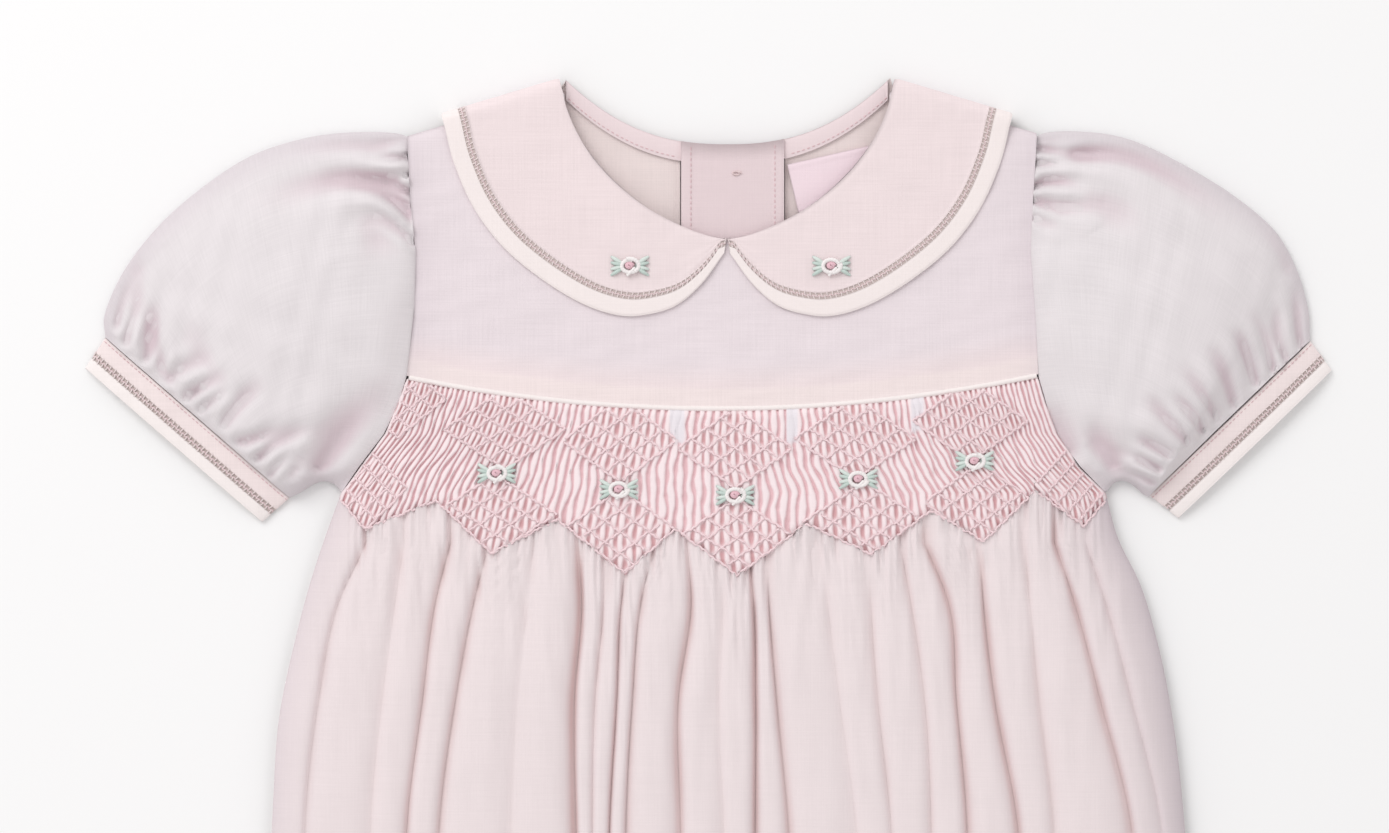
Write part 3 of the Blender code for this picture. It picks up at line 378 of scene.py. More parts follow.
def yoke_seam_y(x):
    """The yoke seam, which sags towards the centre."""
    across = (np.asarray(x, dtype=float) + 100.4) / 198.0
    ends = YOKE_SEAM_ENDS[0] + (YOKE_SEAM_ENDS[1] - YOKE_SEAM_ENDS[0]) * across
    return ends - YOKE_SEAM_DIP * np.clip(4 * across * (1 - across), 0, 1)


def smock_hem_y(x):
    """The zigzag along which the smocking ends."""
    return np.interp(x, column(SMOCK_HEM, 0), column(SMOCK_HEM, 1))


def lower_edge_y(x):
    """The front's and back's lowest edge: slanted along each leg, level at the crotch."""
    along = np.clip((np.abs(x) - CROTCH_HALF_WIDTH) / (LEG_OUTER[0] - CROTCH_HALF_WIDTH), 0, None)
    arch = LEG_ARCH * 4 * along * np.clip(1 - along, 0, 1)
    return CROTCH_TOP_Y + (LEG_OUTER[1] - CROTCH_TOP_Y) * along + arch


def edge_x(y):
    """Left and right edge of the front and back at a height, along armhole and side seam."""
    y = np.asarray(y, dtype=float)
    edges = []
    for index in (1, 2):
        side = read_smooth(column(SIDES, 0), column(SIDES, index), y)
        edges.append(np.where(y > SIDES[0][0], read_table(ARMHOLE, y, index), side))
    return edges[0] + ARMHOLE_EASE, edges[1] - ARMHOLE_EASE


def front_height(x, y):
    """Height of the front's outer surface, before pleats and folds."""
    left, right = edge_x(y)
    rim = np.clip(np.minimum(x - left, right - x) / SIDE_ROUNDING, 0, 1)
    round_side = np.sqrt(1 - (1 - rim) ** 2)
    edge = read_table(FRONT_EDGE, y, 1)
    crest = read_table(FRONT_CREST, y, 1)
    height = edge + (crest - edge) * round_side
    seam = np.where(np.abs(x) < CROTCH_HALF_WIDTH + 3, SIDE_SEAM_TOP, LEG_SEAM_TOP)
    seam = np.minimum(seam, height)
    near_hem = np.clip((y - lower_edge_y(x)) / 24.0, 0, 1)
    return seam + (height - seam) * np.sqrt(1 - (1 - near_hem) ** 2)


def ramp(value, low, high):
    """0 below low, 1 above high, and smooth between them."""
    t = np.clip((np.asarray(value, dtype=float) - low) / (high - low), 0, 1)
    return t * t * (3 - 2 * t)


def ripple(x, y, seed):
    """A gentle unevenness between about -1 and 1, the same in each run."""
    total = 0.0
    for number in range(5):
        turn = 2.4 * number + seed
        pitch = 1.0 / (1.0 + 0.62 * number)
        along = (x * math.cos(turn) + y * math.sin(turn)) / pitch
        total = total + np.sin(2 * math.pi * along + 1.7 * turn + 1.3 * np.sin(along * 1.9 + turn))
    return total / 3.0


def through_middle(start, middle, end, t):
    """A smooth curve from start to end that passes through middle halfway."""
    return (1 - t) ** 2 * start + 2 * t * (1 - t) * (2 * middle - (start + end) / 2) + t**2 * end


def crease_depth(x, y, creases):
    """How deep the listed creases are at each point."""
    total = np.zeros_like(x)
    for x0, y0, x1, y1, x2, y2, half_width, depth in creases:
        best = np.full_like(x, 1e9)
        share = np.zeros_like(x)
        steps = np.linspace(0, 1, 17)
        line_x = through_middle(x0, x1, x2, steps)
        line_y = through_middle(y0, y1, y2, steps)
        for k in range(len(steps) - 1):
            run_x = line_x[k + 1] - line_x[k]
            run_y = line_y[k + 1] - line_y[k]
            t = ((x - line_x[k]) * run_x + (y - line_y[k]) * run_y) / (run_x**2 + run_y**2)
            t = np.clip(t, 0, 1)
            away = np.hypot(x - line_x[k] - run_x * t, y - line_y[k] - run_y * t)
            closer = away < best
            best = np.where(closer, away, best)
            share = np.where(closer, steps[k] + t / 16, share)
        width = half_width * (0.8 + 0.9 * share)
        reach = best / width
        trough = np.exp(-(reach**2)) - 0.35 * np.exp(-((reach - 2.0) ** 2))
        total += depth * trough * (1 - ramp(share, 0.35, 1.0)) * np.clip(share * 12 + 0.7, 0, 1)
    return 1.4 * total


def screen(red, green, blue):
    """A colour given as 0 to 255 on a screen, in linear light."""
    values = np.array([red, green, blue]) / 255
    return np.where(values > 0.04045, ((values + 0.055) / 1.055) ** 2.4, values / 12.92)


def mix(first, second, share):
    """Between two colours, for a share or an array of shares."""
    share = np.asarray(share, dtype=float)[..., None]
    return first * (1 - share) + second * share


SHEER = screen(233, 222, 226)
SLEEVE = screen(229, 223, 225)
SKIRT = screen(235, 223, 224)
SHEER_WARM = screen(238, 223, 224)
DOUBLED = screen(241, 227, 226)
CREAM = screen(246, 238, 236)
# Painted shade for cloth that rounds away from the light at its edges
EDGE_SHADE = screen(205, 193, 200)
PLEAT_LIGHT = screen(247, 232, 234)
# Painted shade in the gaps between pleats, partly the real pinker look of doubled sheer cloth; the machine
# stitches take the same pink
STITCH_PINK_AND_GAP_SHADE = screen(230, 196, 200)
# Deeper painted shade in the pleat gaps inside the diamonds, partly the real pink of the trellis thread
DIAMOND_GAP_SHADE = screen(217, 174, 177)
PLEAT_FLAT = screen(234, 228, 233)
# Painted shade for the hollows of the skirt's and the back's folds
FOLD_SHADE = screen(222, 199, 198)
THREAD = screen(253, 226, 230)
ROSE_WHITE = screen(252, 247, 246)
ROSE_PINK = screen(243, 202, 212)
LEAF = screen(224, 235, 229)
LEAF_DEEP = screen(204, 220, 213)
BACK_SHEER = screen(234, 220, 218)
LABEL = screen(242, 222, 229)
# Painted shade: the colour of what shows through the hemstitch holes and the buttons' holes
HOLE_SHADE = screen(212, 198, 194)

shift_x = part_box("back_placket_over")[0][0] / MM - (PLACKET_LEFT + SEAM_GAP)
shift_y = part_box("crotch_band")[0][1] / MM - CROTCH_FOOT_Y


def grid_normals(grid):
    """Unit normals of a grid, pointing out where its rows run down and its columns run right."""
    down = np.gradient(grid, axis=0)
    across = np.gradient(grid, axis=1)
    normal = np.cross(down, across)
    length = np.linalg.norm(normal, axis=2, keepdims=True)
    return normal / np.maximum(length, 1e-9)


class Piece:
    """One piece of the scene, gathered as points, faces, cloth coordinates and tints."""

    def __init__(self, name):
        self.name = name
        self.points = []
        self.cloth = []
        self.tints = []
        self.faces = []
        self.count = 0

    def add_grid(self, grid, tint, cloth=None, ring=False, flip=False):
        """Adds a grid of points, skinned with quads, and returns the points' numbers."""
        rows, columns, _ = grid.shape
        numbers = self.count + np.arange(rows * columns).reshape(rows, columns)
        self.count += rows * columns
        self.points.append(grid.reshape(-1, 3))
        if cloth is None:
            cloth = grid[..., :2]
        self.cloth.append(np.broadcast_to(cloth, (rows, columns, 2)).reshape(-1, 2))
        self.tints.append(np.broadcast_to(tint, (rows, columns, 3)).reshape(-1, 3))
        wide = np.concatenate([numbers, numbers[:, :1]], axis=1) if ring else numbers
        quads = [wide[:-1, :-1], wide[1:, :-1], wide[1:, 1:], wide[:-1, 1:]]
        if flip:
            quads.reverse()
        self.faces.extend(np.stack(quads, axis=-1).reshape(-1, 4).tolist())
        return numbers

    def join(self, first, second):
        """Joins two rows of points of any two lengths with triangles."""
        i = 0
        j = 0
        while i < len(first) - 1 or j < len(second) - 1:
            first_next = (i + 1) / (len(first) - 1) if i < len(first) - 1 else 2.0
            second_next = (j + 1) / (len(second) - 1) if j < len(second) - 1 else 2.0
            if first_next <= second_next:
                self.faces.append([int(first[i]), int(second[j]), int(first[i + 1])])
                i += 1
            else:
                self.faces.append([int(first[i]), int(second[j]), int(second[j + 1])])
                j += 1

    def add_shell(self, grid, thickness, tint, cloth=None, coarse=(2, 2), under=None):
        """Adds a thin cloth: the outer grid, a plainer inner one and the rims between them."""
        outer = self.add_grid(grid, tint, cloth)
        rows = np.unique(np.append(np.arange(0, grid.shape[0], coarse[0]), grid.shape[0] - 1))
        columns = np.unique(np.append(np.arange(0, grid.shape[1], coarse[1]), grid.shape[1] - 1))
        pick = np.ix_(rows, columns)
        if under is None:
            inner = (grid - thickness * grid_normals(grid))[pick]
        else:
            inner = under[pick]
        tints = np.broadcast_to(tint, grid.shape)[pick]
        wide_cloth = None if cloth is None else np.broadcast_to(cloth, (*grid.shape[:2], 2))[pick]
        inside = self.add_grid(inner, tints, wide_cloth, flip=True)
        self.join(outer[0], inside[0])
        self.join(outer[-1][::-1], inside[-1][::-1])
        self.join(outer[:, 0][::-1], inside[:, 0][::-1])
        self.join(outer[:, -1], inside[:, -1])

    def add_tube(self, path, radii, tint, sides=6, closed_ends=True):
        """Adds a thread or cord along a path, with its radius at each point."""
        path = np.asarray(path, dtype=float)
        radii = np.broadcast_to(radii, len(path))
        tangent = np.gradient(path, axis=0)
        tangent /= np.maximum(np.linalg.norm(tangent, axis=1, keepdims=True), 1e-9)
        side = np.cross(tangent, np.array([0.0, 0.0, 1.0]))
        flat = np.linalg.norm(side, axis=1) < 0.2
        side[flat] = np.cross(tangent[flat], np.array([0.0, 1.0, 0.0]))
        side /= np.maximum(np.linalg.norm(side, axis=1, keepdims=True), 1e-9)
        up = np.cross(side, tangent)
        turns = np.linspace(0, 2 * math.pi, sides, endpoint=False)
        ring = np.cos(turns)[None, :, None] * side[:, None] + np.sin(turns)[None, :, None] * up[:, None]
        grid = path[:, None] + ring * radii[:, None, None]
        colours = np.broadcast_to(np.asarray(tint).reshape(-1, 1, 3), (len(path), sides, 3))
        along = np.concatenate([[0], np.cumsum(np.linalg.norm(np.diff(path, axis=0), axis=1))])
        round_it = turns * radii.mean()
        cloth = np.stack(np.broadcast_arrays(round_it[None, :], along[:, None]), axis=-1)
        numbers = self.add_grid(grid, colours, cloth, ring=True)
        if closed_ends:
            self.faces.append(numbers[0][::-1].tolist())
            self.faces.append(numbers[-1].tolist())
        return numbers

    def build(self, material, *nodes, slot=None):
        """Makes the object, which rides with the garment and stands for the named nodes."""
        mesh = bpy.data.meshes.new(self.name)
        points = np.concatenate(self.points) + np.array([shift_x, shift_y, 0.0])
        mesh.from_pydata((points * MM).tolist(), [], self.faces)
        tints = np.concatenate(self.tints)
        colour = mesh.color_attributes.new("tint", "FLOAT_COLOR", "POINT")
        colour.data.foreach_set("color", np.column_stack([tints, np.ones(len(tints))]).ravel())
        layer = mesh.uv_layers.new(name="cloth")
        corners = np.empty(len(mesh.loops), dtype=np.int32)
        mesh.loops.foreach_get("vertex_index", corners)
        layer.data.foreach_set("uv", (np.concatenate(self.cloth)[corners] * MM).ravel())
        mesh.shade_smooth()
        thing = bpy.data.objects.new(self.name, mesh)
        thing.data.materials.append(material)
        bpy.context.scene.collection.objects.link(thing)
        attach(thing, "root")
        if nodes:
            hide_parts(*nodes)
        return thing


# Materials

STRAND_PITCH = 0.45


def new_material(name, roughness, sheen=0.0, specular=0.3):
    """A Principled material whose colour starts from the piece's own tints."""
    material = bpy.data.materials.new(name)
    material.use_nodes = True
    nodes = material.node_tree.nodes
    shader = nodes["Principled BSDF"]
    shader.inputs["Roughness"].default_value = roughness
    shader.inputs["Specular IOR Level"].default_value = specular
    shader.inputs["Sheen Weight"].default_value = sheen
    shader.inputs["Sheen Roughness"].default_value = 0.5
    tint = nodes.new("ShaderNodeVertexColor")
    tint.layer_name = "tint"
    return material, shader, tint


def noise(tree, vector, scale, detail=2.0):
    """A noise texture read at a vector."""
    node = tree.nodes.new("ShaderNodeTexNoise")
    node.inputs["Scale"].default_value = scale
    node.inputs["Detail"].default_value = detail
    tree.links.new(vector, node.inputs["Vector"])
    return node.outputs["Fac"]


def stretched(tree, source, scale):
    """Cloth coordinates stretched by a scale along each axis."""
    mapping = tree.nodes.new("ShaderNodeMapping")
    mapping.inputs["Scale"].default_value = scale
    tree.links.new(source, mapping.inputs["Vector"])
    return mapping.outputs["Vector"]


def calculate(tree, operation, *values):
    """A Math node on sockets or numbers."""
    node = tree.nodes.new("ShaderNodeMath")
    node.operation = operation
    for socket, value in zip(node.inputs, values):
        if isinstance(value, (int, float)):
            socket.default_value = value
        else:
            tree.links.new(value, socket)
    return node.outputs[0]


def cloth_place(tree):
    """The cloth coordinates, as one vector and as the distance across and along."""
    source = tree.nodes.new("ShaderNodeUVMap")
    source.uv_map = "cloth"
    split = tree.nodes.new("ShaderNodeSeparateXYZ")
    tree.links.new(source.outputs["UV"], split.inputs[0])
    return source.outputs["UV"], split.outputs[0], split.outputs[1]


def scale_tint(tree, shader, tint, factor):
    """Colours the shader with the piece's tints times a factor."""
    colour = tree.nodes.new("ShaderNodeVectorMath")
    colour.operation = "SCALE"
    tree.links.new(tint.outputs["Color"], colour.inputs[0])
    tree.links.new(factor, colour.inputs["Scale"])
    tree.links.new(colour.outputs[0], shader.inputs["Base Color"])


def add_bump(tree, shader, height, strength, distance):
    """Gives the shader a fine relief, its distance in millimetres."""
    bumps = tree.nodes.new("ShaderNodeBump")
    bumps.inputs["Strength"].default_value = strength
    bumps.inputs["Distance"].default_value = distance * MM
    tree.links.new(height, bumps.inputs["Height"])
    tree.links.new(bumps.outputs[0], shader.inputs["Normal"])


def batiste(name, thread_pitch=0.26, slub=0.5, cloud=0.5, bump=0.5, roughness=0.82, sheen=0.12):
    """Fine sheer cotton: a plain weave with slubs both ways and a faint cloudiness."""
    material, shader, tint = new_material(name, roughness, sheen)
    tree = material.node_tree
    place, right, down = cloth_place(tree)
    warp = noise(tree, stretched(tree, place, (2600.0, 55.0, 1.0)), 1.0, 1.0)
    weft = noise(tree, stretched(tree, place, (60.0, 2600.0, 1.0)), 1.0, 1.0)
    slubs = calculate(tree, "ADD", warp, weft)
    clouds = noise(tree, place, 70.0, 3.0)
    frequency = 2 * math.pi / (thread_pitch * MM)
    across = calculate(tree, "SINE", calculate(tree, "MULTIPLY", right, frequency))
    along = calculate(tree, "SINE", calculate(tree, "MULTIPLY", down, frequency))
    threads = calculate(tree, "MULTIPLY", across, along)
    level = calculate(tree, "MULTIPLY_ADD", slubs, slub, 1.0 - slub)
    shade = calculate(tree, "MULTIPLY_ADD", clouds, cloud, 1.0 - cloud * 0.5)
    scale_tint(tree, shader, tint, calculate(tree, "MULTIPLY", level, shade))
    relief = calculate(tree, "MULTIPLY_ADD", threads, 0.35, slubs)
    add_bump(tree, shader, relief, bump, 0.08)
    return material


def thread_material(name, roughness=0.6, sheen=0.15):
    """Twisted cotton thread: fine strands that wind round it."""
    material, shader, tint = new_material(name, roughness, sheen, 0.4)
    tree = material.node_tree
    _, right, down = cloth_place(tree)
    lean = calculate(tree, "ADD", right, down)
    frequency = 2 * math.pi / (STRAND_PITCH * MM)
    twist = calculate(tree, "SINE", calculate(tree, "MULTIPLY", lean, frequency))
    scale_tint(tree, shader, tint, calculate(tree, "MULTIPLY_ADD", twist, 0.03, 0.97))
    add_bump(tree, shader, twist, 0.6, 0.05)
    return material


# Smocked front

FLAT_PLEATS = ((-15.6, 4.6), (20.3, 3.6), (59.5, 4.0))
SMOCK_CELL = (0.0, 0.07, 0.15, 0.24, 0.35, 0.5, 0.65, 0.76, 0.85, 0.93)
SMOCK_ROW_COUNT = 72
PLEAT_DEPTH = 1.1
LAST_STITCHES = 0.985


def pleat_across(u):
    """Spreads the pleats over the width, closer together near the armholes."""
    return u - PLEAT_CROWDING * np.sin(2 * math.pi * u) / (2 * math.pi)


def trellis(x, y):
    """Inside a diamond, and on one of its lines of stitches: two shares from 0 to 1."""
    inside = np.zeros_like(x)
    on_line = np.zeros_like(x)
    for centre_x, centre_y, half_width, half_height in DIAMONDS:
        a = (x - centre_x) / half_width
        b = (y - centre_y) / half_height
        here = ramp(1.06 - np.abs(a) - np.abs(b), 0, 0.08)
        scale = half_width * half_height / math.hypot(half_width, half_height)
        for value in (a + b, a - b):
            away = np.abs((value * 2 + 0.5) % 1.0 - 0.5) / 2 * scale
            on_line = np.maximum(on_line, here * np.exp(-((away / 0.75) ** 2)))
        inside = np.maximum(inside, here)
    return inside, on_line


def smock_place(pleat, down):
    """Where a point of the smocking lies, for a pleat number and a share of the way down."""
    across = pleat_across(pleat / PLEATS)
    x = -110.0 + 220.0 * across
    for _ in range(4):
        top = yoke_seam_y(x) - PIPING_RADIUS * 0.6
        y = top + (smock_hem_y(x) - top) * down
        left, right = edge_x(y)
        x = left + (right - left) * across
    calm = np.clip(4 * across * (1 - across) * 4, 0, 1)
    inside, _ = trellis(x, y)
    sway = 0.36 * np.sin(2 * math.pi * (y / 21.0 + x / 67.0 + 0.1))
    sway += 0.16 * np.sin(2 * math.pi * (y / 9.3 - x / 23.0))
    single = 0.2 * np.sin(2 * math.pi * (y / 13.0 + 0.37 * np.round(pleat) ** 1.1))
    ends = ramp(down, 0, 0.12) * (1 - ramp(down, 0.9, 1.0))
    x = x + (sway * (1 - 0.55 * inside) + single * (1 - inside)) * calm * ends
    return x, y


def smock_surface(pleat, down):
    """The smocking's surface and its tints, with painted shade in the gaps between pleats."""
    x, y = smock_place(pleat, down)
    inside, on_line = trellis(x, y)
    number = np.round(pleat)
    t = pleat - np.floor(pleat)
    away = np.abs(2 * t - 1)
    wide = 0.24 + 0.14 * ripple(number * 0.37, y / 26.0, 1.0) + 0.10 * ripple(number * 0.21, y / 9.0, 2.0)
    wide = np.clip(wide + 0.05 * inside, 0.10, 0.55)
    side = ramp(away, 1 - wide - 0.34, 1 - wide * 0.55)
    depth = PLEAT_DEPTH * (0.62 + 0.38 * ramp(wide, 0.1, 0.5))
    depth = depth * (1 - 0.72 * on_line)
    flat = np.zeros_like(x)
    for centre, width in FLAT_PLEATS:
        reach = 1 - ramp(np.abs(x - centre), width * 0.42, width * 0.58)
        flat = np.maximum(flat, reach * (1 - ramp(inside, 0.3, 0.9)) * (1 - ramp(down, 0.25, 0.3)))
    depth = depth * (1 - 0.9 * flat)
    height = front_height(x, y) + 0.45 + 0.35 * inside * (1 - on_line) - depth * side - 0.18 * away**2
    height = height - 0.55 * ramp(down, 0.93, 1.0) - 0.8 * (1 - ramp(down, 0.0, 0.05))
    # Painted shade: the pleat gaps are tinted darker and pinker than the crests, most inside the diamonds;
    # part of the pink is the real look of doubled sheer cloth
    shadow = side * (1 - on_line) * (1 - flat)
    gap = mix(STITCH_PINK_AND_GAP_SHADE, DIAMOND_GAP_SHADE, ramp(inside, 0.2, 0.9) * 0.9)
    light = mix(PLEAT_LIGHT, PLEAT_FLAT, flat)
    tints = light + (gap - light) * shadow[..., None]
    return np.stack([x, y, height], axis=-1), tints


def make_smocking(material):
    """The smocked top of the front, one ridge for each pleat."""
    pleats = np.append((np.arange(PLEATS)[:, None] + np.array(SMOCK_CELL)).ravel(), float(PLEATS))
    downs = np.linspace(0, 1, SMOCK_ROW_COUNT + 1)
    pleat, down = np.meshgrid(pleats, downs)
    grid, tints = smock_surface(pleat, down)
    under = grid.copy()
    under[..., 2] = front_height(grid[..., 0], grid[..., 1]) - 1.7
    cloth = np.stack([pleat * 4.6, grid[..., 1]], axis=-1)
    piece = Piece("smocked_front")
    piece.add_shell(grid, 0.0, tints, cloth, coarse=(12, 10), under=under)
    thing = piece.build(material, "front_panel", slot="smocked_batiste")


def crossings(centre_x, centre_y, half_width, half_height, slope, level, table):
    """Where each pleat's own line crosses a stitch line of a diamond: pleat and share down."""
    pleats, downs, xs, ys = table
    across = (xs - centre_x) / half_width
    drop = slope * (ys - centre_y) / half_height
    miss = across + drop - level
    places = []
    for pleat, values, other in zip(pleats, miss, np.abs(across - drop)):
        change = np.nonzero((values[:-1] * values[1:] <= 0) & (other[:-1] < 1.02))[0]
        if len(change):
            k = change[0]
            share = values[k] / (values[k] - values[k + 1] + 1e-12)
            places.append((pleat, downs[k] + (downs[k + 1] - downs[k]) * share))
    return places


def stitch_line(piece, places, radius, tint):
    """A line of smocking stitches over the pleats: a bead of thread across each gap."""
    if len(places) < 3:
        return
    places = np.array(places)
    steps = np.linspace(0, len(places) - 1, (len(places) - 1) * 4 + 1)
    index = np.arange(len(places))
    pleat = np.interp(steps, index, places[:, 0])
    down = np.interp(steps, index, places[:, 1])
    x, y = smock_place(pleat, down)
    inside, _ = trellis(x, y)
    t = pleat - np.floor(pleat)
    over_gap = 0.5 + 0.5 * np.cos(2 * math.pi * t)
    stair = 0.3 * np.where(np.floor(pleat) % 2 == 0, 1.0, -1.0) * np.sin(2 * math.pi * t)
    z = front_height(x, y) + 0.62 + 0.25 * inside - 0.12 * over_gap
    path = np.stack([x, y + stair, z], axis=1)
    piece.add_tube(path, radius * (0.62 + 0.5 * over_gap), tint, sides=5)


def make_trellis(material):
    """The trellis of thread in each diamond, and the zigzag along the smocking's end."""
    piece = Piece("trellis_threads")
    pleats = np.arange(0.5, PLEATS, 0.5)
    downs = np.linspace(0.01, LAST_STITCHES, 80)
    table = (pleats, downs, *smock_place(*np.meshgrid(pleats, downs, indexing="ij")))
    for diamond in DIAMONDS:
        for slope in (1, -1):
            for level in (-1.0, -0.5, 0.0, 0.5, 1.0):
                radius = 0.4 if abs(level) == 1 else 0.33
                stitch_line(piece, crossings(*diamond, slope, level, table), radius, THREAD)
    stitch_line(piece, [(pleat, LAST_STITCHES) for pleat in pleats], 0.36, THREAD)
    return piece.build(material, slot="smocked_batiste")


# Gathered skirt

SKIRT_ROWS = 110
SKIRT_CELLS = 18


def skirt_points(places, steps):
    """The skirt's surface: folds between the valleys, with gathers that die away below the smocking, and a
    share of painted shade for each point.
    """
    depths = np.array([0.0] + [row[-1] for row in VALLEYS] + [0.0])
    first = np.minimum(places.astype(int), len(depths) - 2)
    t = places - first
    index = np.arange(len(places))
    rows = []
    shades = []
    for step in steps:
        y = np.full(len(places), -146.0 - 230.0 * step)
        for _ in range(6):
            left, right = edge_x(y)
            lines = [left]
            for row in VALLEYS:
                lines.append(read_smooth(VALLEY_YS, row[: len(VALLEY_YS)], y))
            lines = np.array(lines + [right])
            x = lines[first, index] * (1 - t) + lines[first + 1, index] * t
            top = smock_hem_y(x) + 0.8
            y = top + (lower_edge_y(x) - top) * step
        width = np.abs(lines[first + 1, index] - lines[first, index])
        depth = depths[first] * (1 - t) + depths[first + 1] * t
        fade = min(1.0, 0.45 + step * 8) * (1 - 0.75 * max(0.0, (step - 0.7) / 0.3) ** 1.5)
        arch = 1 - np.abs(2 * t - 1) ** 3.2
        rim = np.minimum(x - lines[0], lines[-1] - x)
        open_side = np.clip(rim / 12.0, 0, 1)
        fold = (-0.72 * depth * (1 - arch) + np.minimum(width * 0.06, 1.0) * arch) * fade * open_side
        below = np.clip(top - y, 0, None)
        pleat = x / 2.2
        gathers = 0.6 * np.exp(-below / 6.0) * np.cos(2 * math.pi * pleat)
        gathers += 0.95 * np.exp(-below / 20.0) * ripple(x / 7.0, y / 60.0, 3.0)
        gathers += 0.45 * ripple(x / 17.0, y / 120.0, 4.0) * np.exp(-below / 120.0)
        hem = np.exp(-np.clip(y - lower_edge_y(x), 0, None) / 12.0)
        gathers += 0.5 * hem * np.sin(2 * math.pi * x / 5.3 + 1.2 * np.sin(x / 9.0))
        z = np.maximum(front_height(x, y) + fold + gathers * open_side, SIDE_SEAM_TOP)
        rows.append(np.stack([x, y, z], axis=1))
        # Painted shade share: how far the folds and gathers sink the surface
        deep = np.clip(-(fold + gathers * open_side) / 3.6, 0, 1)
        shades.append(deep)
    return np.array(rows), np.array(shades)


def make_skirt(material):
    """The skirt of the front, gathered below the smocking and drawn in at the legs."""
    count = len(VALLEYS) + 1
    places = np.linspace(0, count, count * SKIRT_CELLS + 1)
    steps = np.concatenate([np.linspace(0, 0.3, 60, endpoint=False), np.linspace(0.3, 1, 51)])
    grid, deep = skirt_points(places, steps)
    # Painted shade: the fold hollows are tinted darker
    tints = mix(SKIRT, FOLD_SHADE, ramp(deep, 0.05, 1.0))
    left, right = edge_x(grid[..., 1])
    # Painted shade: both side edges grey where the cloth rounds away, more on the right, away from the light
    tints = mix(tints, EDGE_SHADE, 0.45 * np.exp(-(grid[..., 0] - left) / 7.0))
    tints = mix(tints, EDGE_SHADE * 0.92, 0.8 * np.exp(-(right - grid[..., 0]) / 8.0))
    piece = Piece("gathered_skirt")
    piece.add_shell(grid, 0.5, tints, coarse=(5, 6))
    thing = piece.build(material, "front_panel", slot="batiste")


# Yokes, back and opening

YOKE_LEFT = -100.0
YOKE_RIGHT = 96.8


def yoke_grid(across, top_of, bottom_of, rows):
    """A grid between a top line and a bottom line, its sides following the armholes."""
    grid = np.zeros((rows + 1, len(across), 3))
    for j in range(rows + 1):
        y = top_of(across) + (bottom_of(across) - top_of(across)) * j / rows
        left = read_table(ARMHOLE, y, 1) + ARMHOLE_EASE
        right = read_table(ARMHOLE, y, 2) - ARMHOLE_EASE
        stretch = np.where(across < 0, left / YOKE_LEFT, right / YOKE_RIGHT)
        lean = np.clip((np.abs(across) - 55.0) / 45.0, 0, 1)
        grid[j, :, 0] = across * (1 + (stretch - 1) * lean)
        grid[j, :, 1] = y
    return grid


def make_front_yoke(material):
    """The sheer yoke, with the seam allowance showing through above the piping."""
    turns = np.linspace(-math.pi / 2, math.pi / 2, 121)
    neck = (NECK_HALF_WIDTH + SEAM_GAP) * np.sin(turns)
    left = np.linspace(YOKE_LEFT, -NECK_HALF_WIDTH - SEAM_GAP, 40)[:-1]
    right = np.linspace(YOKE_RIGHT, NECK_HALF_WIDTH + SEAM_GAP, 40)[:-1][::-1]
    across = np.concatenate([left, neck, right])

    def top(x):
        return np.where(np.abs(x) < NECK_HALF_WIDTH, front_neck_y(x), shoulder_y(x))

    def bottom(x):
        return yoke_seam_y(x) + PIPING_RADIUS * 0.5

    grid = yoke_grid(across, top, bottom, 70)
    x = grid[..., 0]
    y = grid[..., 1]
    from_shoulder = np.clip((shoulder_y(x) - y) / 9.0, 0, 1)
    round_shoulder = np.sqrt(1 - (1 - from_shoulder) ** 2)
    seam = BACK_YOKE_BASE + TRIM_WALL + SEAM_GAP + WALL
    above = y - yoke_seam_y(x)
    allowance = 1 - ramp(above, 5.6, 6.6)
    grid[..., 2] = seam + (FRONT_YOKE_BASE + WALL - seam) * round_shoulder + 0.12 * allowance
    calm = ramp(above, 0, 6) * ramp(from_shoulder, 0.2, 1.0)
    grid[..., 2] += 0.22 * ripple(x / 46.0, y / 30.0, 5.0) * calm
    side = np.minimum(x - read_table(ARMHOLE, y, 1), read_table(ARMHOLE, y, 2) - x)
    tints = mix(mix(SHEER_WARM, SHEER, ramp(above, 5, 16)), DOUBLED, allowance)
    # Painted shade: the yoke greys towards the armhole seams, where it rounds away from the light
    tints = mix(tints, EDGE_SHADE, 0.35 * np.exp(-side / 5.0))
    piece = Piece("front_yoke_cloth")
    piece.add_shell(grid, 0.6, tints)
    thing = piece.build(material, "front_yoke", slot="batiste")


def make_back_yokes(material):
    """Both halves of the back yoke, a single sheer layer."""
    for side, start, end in (("left", YOKE_LEFT, PLACKET_LEFT), ("right", PLACKET_RIGHT, YOKE_RIGHT)):
        across = np.linspace(start, end, 70)

        def top(x):
            return np.where(np.abs(x) < NECK_HALF_WIDTH, back_neck_y(x), shoulder_y(x))

        def bottom(x):
            return yoke_seam_y(x) - 4.0

        grid = yoke_grid(across, top, bottom, 40)
        grid[..., 2] = BACK_YOKE_BASE + TRIM_WALL
        grid[..., 2] += 0.08 * ripple(grid[..., 0] / 30.0, grid[..., 1] / 22.0, 6.0) - 0.08
        piece = Piece(f"back_yoke_cloth_{side}")
        piece.add_shell(grid, 0.9, BACK_SHEER)
        thing = piece.build(material, f"back_yoke_{side}", slot="batiste")


